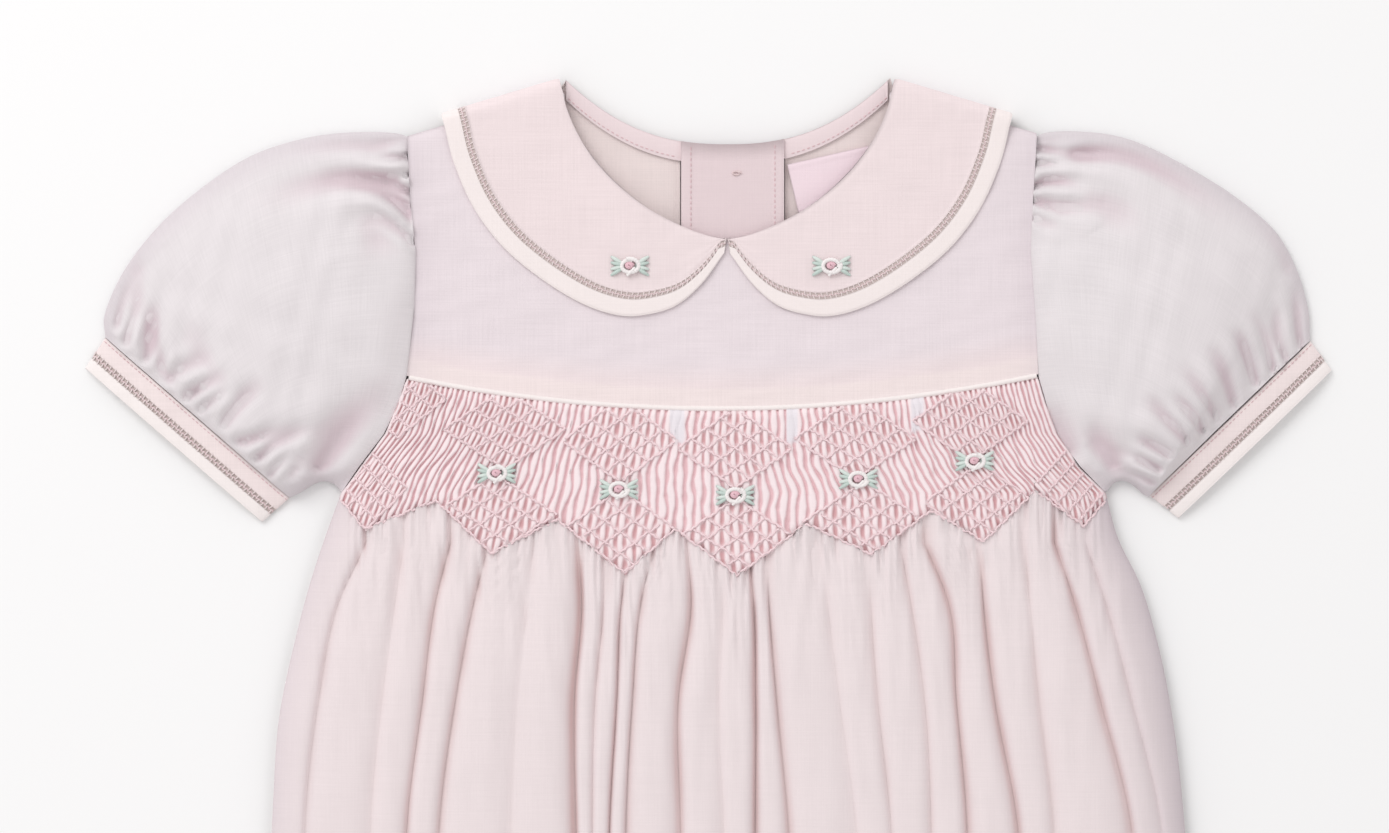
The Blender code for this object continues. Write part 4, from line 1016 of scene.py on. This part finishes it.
def make_back_panel(material):
    """The back below its yoke, gathered plainly and flat where it lies."""
    across = np.linspace(0, 1, 241)
    rows = 90
    grid = np.zeros((rows + 1, len(across), 3))
    for j in range(rows + 1):
        down = j / rows
        x = -140.0 + 280.0 * across
        for _ in range(6):
            top = yoke_seam_y(x) - 1.0
            y = top + (lower_edge_y(x) - top) * down
            left, right = edge_x(y)
            x = left + (right - left) * across
        below = np.clip(top - y, 0, None)
        above_hem = np.clip(y - lower_edge_y(x), 0, None)
        fade = 0.75 * np.exp(-below / 45.0) + 0.3 + 0.5 * np.exp(-above_hem / 14.0)
        waves = 0.5 + 0.5 * np.cos(2 * math.pi * x / 5.6 + 1.6 * ripple(x / 60.0, y / 190.0, 7.0))
        z = 0.05 + 0.5 * fade * waves
        grid[j] = np.stack([x, y, z], axis=1)
    # Painted shade: the underside is darker where the waves lift it off the floor
    tints = mix(DOUBLED, FOLD_SHADE, ramp(grid[..., 2], 0.25, 0.75) * 0.6)
    piece = Piece("back_panel_cloth")
    outer = piece.add_grid(grid, tints, flip=True)
    upper = grid.copy()
    upper[..., 2] += 0.5
    inner = piece.add_grid(upper, DOUBLED)
    piece.join(outer[0], inner[0])
    piece.join(outer[-1], inner[-1])
    piece.join(outer[:, 0], inner[:, 0])
    piece.join(outer[:, -1], inner[:, -1])
    thing = piece.build(material, "back_panel", slot="batiste")


def make_strip(name, across, top_y, bottom_y, top_z, thickness, tint, material, node, edge=0.0):
    """A strip between two lines whose long edges are turned under and so a little thicker."""
    rows = 14
    grid = np.zeros((rows + 1, len(across), 3))
    for j in range(rows + 1):
        y = top_y + (bottom_y - top_y) * j / rows
        grid[j] = np.stack([across, y, np.full_like(across, top_z)], axis=1)
    from_side = np.minimum(across - across[0], across[-1] - across)
    grid[..., 2] += edge * (1 - ramp(from_side, 3.0, 3.6))
    grid[..., 2] -= 0.3 * (1 - ramp(from_side, 0.0, 0.7))
    piece = Piece(name)
    piece.add_shell(grid, thickness, tint)
    thing = piece.build(material, node, slot="batiste")


def add_stitches(piece, path, pitch, length, radius, tint):
    """A row of machine stitches laid along a path."""
    path = np.asarray(path, dtype=float)
    along = np.concatenate([[0], np.cumsum(np.linalg.norm(np.diff(path, axis=0), axis=1))])
    for start in np.arange(pitch * 0.5, along[-1] - length, pitch):
        spots = start + length * np.array([0.0, 0.2, 0.5, 0.8, 1.0])
        points = np.column_stack([np.interp(spots, along, path[:, k]) for k in range(3)])
        points[:, 2] += radius * np.array([-0.7, 0.3, 0.55, 0.3, -0.7])
        piece.add_tube(points, radius * np.array([0.6, 1.0, 1.05, 1.0, 0.6]), tint, sides=5)


def make_back_opening(cloth, trim, label, thread):
    """The placket's layers, the binding, the label and their stitching, seen inside the neck."""
    across = np.linspace(PLACKET_LEFT + SEAM_GAP, PLACKET_RIGHT - SEAM_GAP, 67)
    foot = np.full_like(across, PLACKET_FOOT)
    top = back_neck_y(across)
    over_z = BACK_YOKE_BASE + TRIM_WALL
    make_strip("placket_over_cloth", across, top, foot, over_z, 1.0, SHEER, cloth, "back_placket_over")
    tint = mix(SHEER, screen(226, 205, 207), 0.7)
    under_z = PLACKET_BASE + 0.85
    make_strip("placket_under_cloth", across, top, foot, under_z, 0.8, tint, trim, "back_placket_under", 0.15)
    reach = np.linspace(-BINDING_REACH, BINDING_REACH, 121)
    neck = back_neck_y(reach)
    rows = 12
    grid = np.zeros((rows + 1, len(reach), 3))
    for j in range(rows + 1):
        share = j / rows
        crown = 0.35 * (4 * share * (1 - share)) ** 0.6
        z = np.full_like(reach, BINDING_BASE + 0.7 + crown)
        grid[j] = np.stack([reach, neck - BINDING_WIDTH * share, z], axis=1)
    piece = Piece("neck_binding_cloth")
    piece.add_shell(grid, 0.6, screen(235, 218, 220))
    piece.build(trim, "neck_binding", slot="batiste")
    stitching = Piece("opening_stitches")
    low = np.column_stack([reach, neck - BINDING_WIDTH + 1.1, np.full_like(reach, BINDING_BASE + 0.9)])
    seen = (reach < PLACKET_LEFT - 0.5) | (reach > PLACKET_RIGHT + 0.5)
    add_stitches(stitching, low[seen & (reach < 0)], 1.7, 1.2, 0.16, STITCH_PINK_AND_GAP_SHADE)
    add_stitches(stitching, low[seen & (reach > 0)], 1.7, 1.2, 0.16, STITCH_PINK_AND_GAP_SHADE)
    for x in (PLACKET_LEFT + 3.4, PLACKET_RIGHT - 3.2):
        ys = np.linspace(float(back_neck_y(x)) - 0.5, -60.0, 60)
        line = np.column_stack([np.full_like(ys, x), ys, np.full_like(ys, under_z + 0.15)])
        add_stitches(stitching, line, 1.7, 1.2, 0.14, STITCH_PINK_AND_GAP_SHADE)
    turns = np.linspace(0, 2.6 * math.pi, 26)
    knot = np.column_stack(
        [
            BUTTON_X - 0.2 + 1.5 * np.cos(turns) * np.linspace(1, 0.5, 26),
            BUTTON_YS[0] + 0.55 * np.sin(turns),
            under_z + 0.3 + 0.1 * np.sin(turns * 2),
        ]
    )
    stitching.add_tube(knot, 0.24, screen(236, 214, 214), sides=5)
    stitching.build(thread, slot="batiste")
    make_label(label)


def make_label(material):
    """The label: bare woven tape, raised a little along its top and bottom edges."""
    along = np.array([math.cos(LABEL_TILT), math.sin(LABEL_TILT)])
    down = np.array([along[1], -along[0]])
    shares = np.linspace(0, 1, 53)
    grid = np.zeros((33, 53, 3))
    for j in range(33):
        drop = j / 32
        spots = np.array(LABEL_CORNER) + np.outer(shares * LABEL_WIDTH, along) + down * LABEL_HEIGHT * drop
        rim = min(drop, 1 - drop) * LABEL_HEIGHT
        z = BINDING_BASE + 1.0 + 0.12 * (1 - ramp(rim, 1.6, 2.0)) - 0.25 * (1 - ramp(rim, 0.0, 0.5))
        grid[j] = np.column_stack([spots, np.full(53, z) + 0.1 * np.sin(shares * 5.0)])
    piece = Piece("neck_label_tape")
    piece.add_shell(grid, 0.6, LABEL)
    thing = piece.build(material, "neck_label", slot="label_tape")


# Collar

HEMSTITCH_HALF = 1.05
HEMSTITCH_PITCH = 1.75


def collar_lines(stations, shares, lift):
    """Points at shares across the collar, at one height above its inner face."""
    middle = (COLLAR_BASE + TRIM_WALL) / 2
    slope = math.hypot(1.0, SHOULDER_SLOPE)
    over = np.array([-SHOULDER_SLOPE / slope, 1.0 / slope])
    inner = stations[:, 0:2]
    outer = stations[:, 2:4]
    angle = np.radians(np.clip(stations[:, 4], 0, 180))[:, None]
    radius = middle - TRIM_WALL + lift
    spots = inner[:, None] + (outer - inner)[:, None] * shares[..., None]
    spots = spots + over * (radius * np.sin(angle))[..., None]
    z = middle + radius * np.cos(angle) + np.zeros(shares.shape)
    return np.concatenate([spots, z[..., None]], axis=2)


def make_collar(side, cloth, trim, thread):
    """One half of the collar: its body, its wide hem and the hemstitching between them."""
    stations = smooth_rows(COLLAR, 260)
    mirror = np.array([1.0 if side == "left" else -1.0, 1.0, 1.0])
    flip = side == "right"
    widths = np.hypot(stations[:, 2] - stations[:, 0], stations[:, 3] - stations[:, 1])
    seam = np.clip(1 - COLLAR_BAND / widths, 0.25, 1)
    gap = HEMSTITCH_HALF / widths
    cells = np.linspace(0, 1, 25)
    shares = (seam - gap)[:, None] * cells
    lift = 0.95 + 0.12 * ripple(cells[None, :] * 1.1, np.linspace(0, 5, 260)[:, None], 8.0)
    lift = lift - 0.35 * (1 - ramp(cells * widths.mean(), 0.0, 1.4))[None, :]
    body = collar_lines(stations, shares, lift) * mirror
    piece = Piece(f"collar_cloth_{side}")
    # Painted shade: the collar greys where it wraps over the shoulder and on its back half
    front = ramp(90 - stations[:, 4], -20, 20)[:, None]
    tints = mix(SHEER_WARM, mix(SHEER_WARM, EDGE_SHADE, 0.5), (1 - front) * np.ones_like(shares))
    add_collar_shell(piece, body, tints, flip)
    piece.build(cloth, f"collar_{side}", slot="batiste")
    cells = np.linspace(0, 1, 13)
    shares = (seam + gap)[:, None] + (1 - seam - gap)[:, None] * cells
    lift = 1.1 - 0.5 * ramp(cells, 0.86, 1.0) ** 2 - 0.1 * (1 - ramp(cells, 0.0, 0.12))
    band = collar_lines(stations, shares, lift[None, :] * np.ones_like(shares)) * mirror
    piece = Piece(f"collar_hem_{side}")
    add_collar_shell(piece, band, DOUBLED * 0.35 + CREAM * 0.65, flip)
    piece.build(trim, f"collar_band_{side}", slot="hem_batiste")
    piece = Piece(f"collar_hemstitch_{side}")
    first = collar_lines(stations, (seam - gap)[:, None], 0.85)[:, 0] * mirror
    last = collar_lines(stations, (seam + gap)[:, None], 0.85)[:, 0] * mirror
    low_first = collar_lines(stations, (seam - gap)[:, None], 0.7)[:, 0] * mirror
    low_last = collar_lines(stations, (seam + gap)[:, None], 0.7)[:, 0] * mirror
    add_hemstitch(piece, first, last, low_first, low_last)
    piece.build(thread, slot="hem_batiste")


def add_collar_shell(piece, grid, tints, flip):
    """A collar layer whose rows run along the collar."""
    order = grid[:, ::-1] if flip else grid
    colours = np.broadcast_to(tints, grid.shape)
    colours = colours[:, ::-1] if flip else colours
    piece.add_shell(np.ascontiguousarray(order), 0.55, colours)


def add_hemstitch(piece, first, last, low_first, low_last):
    """Drawn-thread work: two rows of small holes between bars of bundled threads."""
    middle = (first + last) / 2
    along = np.concatenate([[0], np.cumsum(np.linalg.norm(np.diff(middle, axis=0), axis=1))])
    spots = np.arange(0, along[-1], 0.9)

    def read(line, place):
        return np.column_stack([np.interp(place, along, line[:, k]) for k in range(3)])

    # Painted shade: a darker strip below the threads stands for the shade seen through the holes
    hole_shade_strip = np.stack([read(low_first, spots), read(low_last, spots)], axis=1)
    piece.add_grid(hole_shade_strip, HOLE_SHADE)
    steps = np.arange(0, along[-1], 0.35)
    wave = 0.5 + 0.12 * np.sin(2 * math.pi * steps / HEMSTITCH_PITCH)
    rail = read(first, steps) * (1 - wave[:, None]) + read(last, steps) * wave[:, None]
    piece.add_tube(rail, 0.15, THREAD, sides=5)
    for row in (0, 1):
        for start in np.arange(0.3 + row * HEMSTITCH_PITCH / 2, along[-1] - 0.4, HEMSTITCH_PITCH):
            lean = 0.12 * math.sin(start * 2.7)
            ends = np.array([start - lean, start, start + lean])
            near = read(first, ends)
            far = read(last, ends)
            shares = np.array([-0.15, 0.25, 0.55]) if row == 0 else np.array([0.45, 0.75, 1.15])
            bar = near * (1 - shares[:, None]) + far * shares[:, None]
            piece.add_tube(bar, np.array([0.3, 0.24, 0.22]), DOUBLED, sides=5, closed_ends=False)


# Sleeves and bands


def curve_through(top, middle, bottom, t):
    """A curve through three points, at t from 0 to 1."""
    start = np.outer((1 - t) * (1 - 2 * t), top)
    return start + np.outer(4 * t * (1 - t), middle) + np.outer(t * (2 * t - 1), bottom)


def armhole_points(side, t):
    """Points down the armhole seam, just outside it, on the side that the sign gives."""
    y = ARMHOLE[0][0] + (ARMHOLE[-1][0] - ARMHOLE[0][0]) * t
    index = 1 if side < 0 else 2
    return np.column_stack([read_table(ARMHOLE, y, index) + math.copysign(0.15, -side), y])


def ring_points(section, upper_count, lower_count):
    """One ring of a flattened tube, from the middle of its lower side over the top and back."""
    top = np.array(section[0:2])
    middle = np.array(section[2:4])
    bottom = np.array(section[4:6])
    low, high, share = np.clip(section[6:9], 0, None)
    upper_t = (1 - np.cos(np.linspace(0, math.pi, upper_count))) / 2
    half = np.linspace(0.5, 0, lower_count + 1)
    t = np.concatenate([half[:-1], upper_t, 1 - half[:-1][::-1]])
    upper = np.zeros(len(t), dtype=bool)
    upper[lower_count : lower_count + upper_count] = True
    spots = share * armhole_points(top[0], t) + (1 - share) * curve_through(top, middle, bottom, t)
    body = np.clip(4 * t * (1 - t), 0, 1)
    centre = low + min(high - low, SIDE_SEAM_TOP) / 2
    above = centre + (high - centre) * body**0.42
    below = centre - (centre - low) * np.clip(body * 6, 0, 1)
    z = np.where(upper, above, below)
    return np.column_stack([spots, z]), upper, body


def make_sleeve(side, sections, creases, material):
    """A puffed sleeve with its gathers at cap and cuff given one by one."""
    rows = smooth_rows(sections, 110)
    rings = [ring_points(row, 170, 24) for row in rows]
    grid = np.array([ring[0] for ring in rings])
    upper = np.array([ring[1] for ring in rings])
    body = np.array([ring[2] for ring in rings])
    x = grid[..., 0]
    y = grid[..., 1]
    depth = crease_depth(x, y, creases) * np.clip(body * 5, 0, 1) * upper
    thick = np.clip(grid[..., 2] - 1.2, 0, None)
    drop = np.minimum(depth, thick * 0.8)
    swell = 0.5 * ripple(x / 38.0, y / 38.0, 9.0) * upper * ramp(body, 0.1, 0.6)
    grid[..., 2] += swell - drop
    under = np.clip(0.25 * ripple(x / 12.0, y / 20.0, 10.0), 0, 1) * (~upper) * ramp(body, 0.1, 0.4)
    grid[..., 2] += under
    # Painted shade: the upper side greys towards its rims, where it rounds away from the light, and darkens
    # in the creases
    rim = 1 - ramp(body, 0.02, 0.35)
    tints = mix(SLEEVE, EDGE_SHADE, 0.4 * rim * upper)
    tints = mix(tints, screen(217, 200, 206), np.clip(depth / 2.2, 0, 1) * 0.9)
    lengths = np.linspace(0, 100, len(rows))[:, None] * np.ones(grid.shape[1])
    around = np.linspace(0, 230, grid.shape[1])[None, :] * np.ones(grid.shape[:2])
    cloth = np.stack([around, lengths], axis=-1)
    order = grid if side == "left" else grid[:, ::-1]
    colours = tints if side == "left" else tints[:, ::-1]
    cloth = cloth if side == "left" else cloth[:, ::-1]
    piece = Piece(f"sleeve_cloth_{side}")
    piece.add_shell(np.ascontiguousarray(order), 0.4, colours, cloth, coarse=(4, 4))
    thing = piece.build(material, f"sleeve_{side}", slot="batiste")


def band_section(upper, distance, side):
    """A cuff's section at a distance from the sleeve, along the arm."""
    top = np.array(upper[0:2])
    bottom = np.array(upper[2:4])
    along = (bottom - top) / np.linalg.norm(bottom - top)
    out = np.array([along[1], -along[0]])
    if out[0] * side < 0:
        out = -out
    taper = CUFF_NARROWING * distance / 12.0
    first = top + out * distance + along * taper
    last = bottom + out * distance - along * taper
    return (*first, *((first + last) / 2), *last, 0.0, CUFF_HEIGHT, 0.0)


def make_band(name, sections, flip, tint, material, node, slot):
    """A band of doubled cloth round a flattened opening, crisp and slightly crowned."""
    count = len(sections)
    grid = np.array([ring_points(row, 90, 20)[0] for row in sections])
    upper = ring_points(sections[0], 90, 20)[1]
    share = np.linspace(0, 1, count)[:, None]
    crown = 0.3 * (1 - (4 * share * (1 - share)) ** 0.35)
    grid[..., 2] -= crown * upper
    grid[..., 2] += 0.12 * ripple(grid[..., 0] / 30.0, grid[..., 1] / 30.0, 11.0) * upper
    grid[..., 2] = np.maximum(grid[..., 2], 0.0)
    order = grid[:, ::-1] if flip else grid
    piece = Piece(name)
    piece.add_shell(np.ascontiguousarray(order), 0.5, tint)
    thing = piece.build(material, node, slot=slot)


def band_line(upper, distance, side, height):
    """A line round the upper side of a cuff, at a distance from the sleeve."""
    points, on_top, _ = ring_points(band_section(upper, distance, side), 90, 20)
    line = points[on_top]
    line[:, 2] += height
    return line


def make_cuff(side, upper, sign, cloth, trim, thread):
    """A cuff: its band, its wide hem, the hemstitching between them and a row of stitches."""
    flip = side == "right"
    band = [band_section(upper, d, sign) for d in np.linspace(*CUFF_BAND, 9)]
    make_band(f"cuff_cloth_{side}", band, flip, DOUBLED, cloth, f"cuff_{side}", "batiste")
    hem = [band_section(upper, d, sign) for d in np.linspace(*CUFF_HEM, 9)]
    make_band(f"cuff_hem_cloth_{side}", hem, flip, CREAM, trim, f"cuff_hem_{side}", "hem_batiste")
    piece = Piece(f"cuff_hemstitch_{side}")
    edges = []
    for distance in (CUFF_BAND[1], CUFF_HEM[0]):
        for height in (-0.3, -0.65):
            edges.append(band_line(upper, distance, sign, height))
    add_hemstitch(piece, edges[0], edges[2], edges[1], edges[3])
    add_stitches(piece, band_line(upper, 0.9, sign, 0.0), 1.6, 1.15, 0.15, STITCH_PINK_AND_GAP_SHADE)
    piece.build(thread, slot="hem_batiste")


def make_leg_bands(cloth):
    """The band round each leg and the strip that closes the crotch."""
    for name, side in (("left", -1), ("right", 1)):
        top = np.array([LEG_OUTER[0] * side, LEG_OUTER[1]])
        bottom = np.array([CROTCH_HALF_WIDTH * side, CROTCH_TOP_Y])
        along = (bottom - top) / np.linalg.norm(bottom - top)
        out = np.array([along[1], -along[0]])
        if out[1] > 0:
            out = -out
        sections = []
        for distance in np.linspace(SEAM_GAP, LEG_BAND_DEPTH, 13):
            first = top + out * distance
            last = bottom + out * distance - along * SEAM_GAP
            middle = (first + last) / 2 + np.array([0.0, LEG_ARCH])
            sections.append((*first, *middle, *last, 0.0, LEG_SEAM_TOP, 0.0))
        node = f"leg_band_{name}"
        make_band(f"{node}_cloth", sections, side > 0, DOUBLED, cloth, node, "batiste")
    lean = LEG_BAND_DEPTH * (CROTCH_TOP_Y - LEG_OUTER[1]) / -(LEG_OUTER[0] - CROTCH_HALF_WIDTH)
    across = np.linspace(-1, 1, 61)
    grid = np.zeros((13, 61, 3))
    for j in range(13):
        share = j / 12
        half = CROTCH_HALF_WIDTH - SEAM_GAP + (lean - 0.9) * share
        y = CROTCH_TOP_Y - SEAM_GAP - 11.4 * share
        z = SIDE_SEAM_TOP - 0.3 + 0.3 * (4 * share * (1 - share)) ** 0.35
        grid[j] = np.stack([across * half, np.full(61, y), np.full(61, z)], axis=1)
    piece = Piece("crotch_band_cloth")
    piece.add_shell(grid, SIDE_SEAM_TOP - 0.35, DOUBLED)
    piece.build(cloth, "crotch_band", slot="batiste")


# Trims


def make_piping(material):
    """The piping: a fine cord covered in cloth, with the tiny dents of its stitches."""
    xs = np.linspace(-99.6, 96.9, 420)
    path = np.column_stack([xs, yoke_seam_y(xs), np.full_like(xs, FRONT_YOKE_BASE + WALL * 0.8)])
    path[:, 2] += 0.05 * np.sin(xs * 0.9)
    radii = PIPING_RADIUS * (0.97 + 0.03 * np.sin(2 * math.pi * xs / 1.9))
    piece = Piece("piping_cloth")
    piece.add_tube(path, radii, CREAM, sides=12)
    return piece.build(material, "yoke_piping", slot="hem_batiste")


# Roses: x, y, turn, and 1 on the smocking or 0 on the collar
ROSES = (
    (-72.0, -124.3, 0.3, 1),
    (-33.8, -129.3, -0.2, 1),
    (2.5, -131.1, 0.1, 1),
    (41.0, -126.1, -0.3, 1),
    (77.3, -120.5, 0.2, 1),
    (-30.4, -59.5, 0.4, 0),
    (32.6, -59.5, -0.1, 0),
)


def add_rose(piece, x, y, z, turn):
    """A small looped rose: a pale ring of wound thread, a pink heart and two pairs of leaves."""
    for side in (-1, 1):
        for lean, shade in ((0.85, LEAF), (0.3, LEAF_DEEP), (-0.3, LEAF), (-0.85, LEAF_DEEP)):
            steps = np.linspace(0, 1, 9)
            path = np.column_stack(
                [
                    x + side * (1.9 + 4.0 * steps),
                    y + lean * (0.5 + 3.0 * steps),
                    z + 0.25 + 0.5 * np.sin(math.pi * steps),
                ]
            )
            piece.add_tube(path, 0.3 + 0.36 * np.sin(math.pi * steps) ** 0.7, shade, sides=6)
    turns = np.linspace(turn, turn + 2 * math.pi * 1.12, 72)
    grow = np.linspace(0, 1, 72)
    ring = np.column_stack(
        [
            x + (2.3 + 0.7 * grow) * np.cos(turns),
            y + (1.8 + 0.45 * grow) * np.sin(turns),
            z + 0.75 + 0.45 * grow,
        ]
    )
    wound = 0.66 * (1 + 0.10 * np.sin(np.arange(72) * 2 * math.pi / 3.5))
    piece.add_tube(ring, wound, ROSE_WHITE, sides=8)
    tail = np.column_stack(
        [
            x + np.linspace(1.6, -0.8, 12),
            y + np.linspace(-0.6, -3.0, 12),
            z + 0.8 + 0.5 * np.sin(np.linspace(0.4, math.pi, 12)),
        ]
    )
    piece.add_tube(tail, 0.5, ROSE_WHITE, sides=8)
    turns = np.linspace(0, 4.6 * math.pi, 60)
    heart = np.column_stack(
        [
            x - 0.15 + np.linspace(1.25, 0.2, 60) * np.cos(turns),
            y + 0.1 + np.linspace(1.0, 0.2, 60) * np.sin(turns),
            z + 0.65 + np.linspace(0.0, 0.6, 60),
        ]
    )
    piece.add_tube(heart, 0.42, ROSE_PINK, sides=6)


def make_roses(material):
    """The roses on the smocking and on both collar tips."""
    piece = Piece("bullion_roses")
    for x, y, turn, on_smocking in ROSES:
        height = float(front_height(np.array([x]), np.array([y]))[0]) + 0.6
        z = height if on_smocking else COLLAR_BASE + TRIM_WALL - 0.05
        add_rose(piece, x, y, z, turn * 3.0)
    return piece.build(material, slot="smocked_batiste")


def make_buttons(material):
    """Small two-hole buttons on the underside of the placket."""
    profile = (
        (0.0, 0.45),
        (2.6, 0.42),
        (3.2, 0.22),
        (3.9, 0.1),
        (4.4, 0.3),
        (BUTTON_RADIUS, 0.65),
        (4.3, 0.98),
        (3.4, 1.05),
        (0.0, 1.05),
    )
    for number, y in enumerate(BUTTON_YS, start=1):
        piece = Piece(f"pearl_button_{number}")
        turns = np.linspace(0, 2 * math.pi, 48, endpoint=False)
        grid = np.zeros((len(profile), 48, 3))
        for j, (radius, height) in enumerate(profile):
            grid[j] = np.column_stack(
                [BUTTON_X + radius * np.cos(turns), y + radius * np.sin(turns), np.full(48, 0.15 + height)]
            )
        piece.add_grid(grid, screen(240, 236, 231), ring=True)
        # Painted shade: each hole is a sunken disc coloured darker for the shade inside it
        for offset in (-0.9, 0.9):
            hole = np.zeros((2, 16, 3))
            circle = np.linspace(0, 2 * math.pi, 16, endpoint=False)
            for j, radius in enumerate((0.0, 0.55)):
                hole[j] = np.column_stack(
                    [
                        BUTTON_X + offset + radius * np.cos(circle),
                        y + radius * np.sin(circle),
                        np.full(16, 0.55),
                    ]
                )
            piece.add_grid(hole, HOLE_SHADE, ring=True)
        bar = np.column_stack([BUTTON_X + np.linspace(-0.9, 0.9, 9), np.full(9, y), np.full(9, 0.45)])
        piece.add_tube(bar, 0.28, ROSE_WHITE, sides=8)
        piece.build(material, f"back_button_{number}", slot="button")


def pearl_material():
    """Plastic pearl: glossy, with a faint clouding."""
    material, shader, tint = new_material("pearl_button", 0.22, 0.0, 0.6)
    shader.inputs["Coat Weight"].default_value = 0.4
    tree = material.node_tree
    source = tree.nodes.new("ShaderNodeTexCoord")
    clouds = noise(tree, source.outputs["Object"], 600.0, 3.0)
    scale_tint(tree, shader, tint, calculate(tree, "MULTIPLY_ADD", clouds, 0.12, 0.92))
    return material


# Floor, light and camera

PHOTO_PIXELS = (1389, 833)
PHOTO_ORIGIN = (727, 76)
PIXEL = 0.313
PHOTO_WIDTH = PHOTO_PIXELS[0] * PIXEL * MM
PHOTO_CENTRE = (
    (PHOTO_PIXELS[0] / 2 - PHOTO_ORIGIN[0]) * PIXEL,
    -(PHOTO_PIXELS[1] / 2 - PHOTO_ORIGIN[1]) * PIXEL,
)
CAMERA_HEIGHT = 1.5
SENSOR_WIDTH = 36.0


def make_floor():
    """A plain pale floor."""
    mesh = bpy.data.meshes.new("floor")
    size = 3.0
    corners = [(-size, -size, 0.0), (size, -size, 0.0), (size, size, 0.0), (-size, size, 0.0)]
    mesh.from_pydata(corners, [], [(0, 1, 2, 3)])
    floor = bpy.data.objects.new("floor", mesh)
    material = bpy.data.materials.new("pale_floor")
    material.use_nodes = True
    shader = material.node_tree.nodes["Principled BSDF"]
    shader.inputs["Base Color"].default_value = (0.93, 0.93, 0.93, 1.0)
    shader.inputs["Roughness"].default_value = 0.9
    shader.inputs["Specular IOR Level"].default_value = 0.1
    mesh.materials.append(material)
    bpy.context.scene.collection.objects.link(floor)


def make_light():
    """A soft even sky and one broad soft light from the upper left."""
    world = bpy.data.worlds.new("studio")
    world.use_nodes = True
    background = world.node_tree.nodes["Background"]
    background.inputs["Color"].default_value = (1.0, 0.985, 0.985, 1.0)
    background.inputs["Strength"].default_value = 0.78
    bpy.context.scene.world = world
    light = bpy.data.lights.new("softbox", "AREA")
    light.shape = "RECTANGLE"
    light.size = 1.2
    light.size_y = 1.2
    light.energy = 17.0
    lamp = bpy.data.objects.new("softbox", light)
    lamp.location = (-0.9, 1.3, 1.5)
    direction = np.array([0.0, 0.1, 0.0]) - np.array(lamp.location)
    lamp.rotation_euler = (
        math.atan2(math.hypot(direction[0], direction[1]), -direction[2]),
        0.0,
        math.atan2(direction[1], direction[0]) - math.pi / 2,
    )
    bpy.context.scene.collection.objects.link(lamp)


def make_camera():
    """The camera looks straight down and frames what the photograph frames."""
    camera = bpy.data.cameras.new("camera")
    camera.sensor_width = SENSOR_WIDTH
    camera.lens = SENSOR_WIDTH * (CAMERA_HEIGHT - 0.006) / PHOTO_WIDTH
    camera.clip_end = 10.0
    eye = bpy.data.objects.new("camera", camera)
    eye.location = ((PHOTO_CENTRE[0] + shift_x) * MM, (PHOTO_CENTRE[1] + shift_y) * MM, CAMERA_HEIGHT)
    bpy.context.scene.collection.objects.link(eye)
    bpy.context.scene.camera = eye


bpy.context.scene.view_settings.view_transform = "Standard"

sheer = batiste("sheer_batiste", slub=0.10, cloud=0.05)
gathered = batiste("gathered_batiste", slub=0.06, cloud=0.04)
trim = batiste("hem_batiste", slub=0.06, cloud=0.03)
smocked = batiste("smocked_batiste", slub=0.05, cloud=0.05, bump=0.3)
tape = batiste("label_tape", thread_pitch=0.5, slub=0.05, cloud=0.02, bump=0.8, roughness=0.6)
floss = thread_material("cotton_floss")
pearl = pearl_material()

make_smocking(smocked)
make_trellis(floss)
make_skirt(gathered)
make_front_yoke(sheer)
make_back_yokes(sheer)
make_back_panel(gathered)
make_back_opening(sheer, trim, tape, floss)
for half in ("left", "right"):
    make_collar(half, sheer, trim, floss)
make_sleeve("left", SLEEVE_LEFT, CREASES_LEFT, sheer)
make_sleeve("right", SLEEVE_RIGHT, CREASES_RIGHT, sheer)
make_cuff("left", CUFF_LEFT, -1, sheer, trim, floss)
make_cuff("right", CUFF_RIGHT, 1, sheer, trim, floss)
make_leg_bands(trim)
make_piping(trim)
make_roses(floss)
make_buttons(pearl)
make_floor()
make_light()
make_camera()
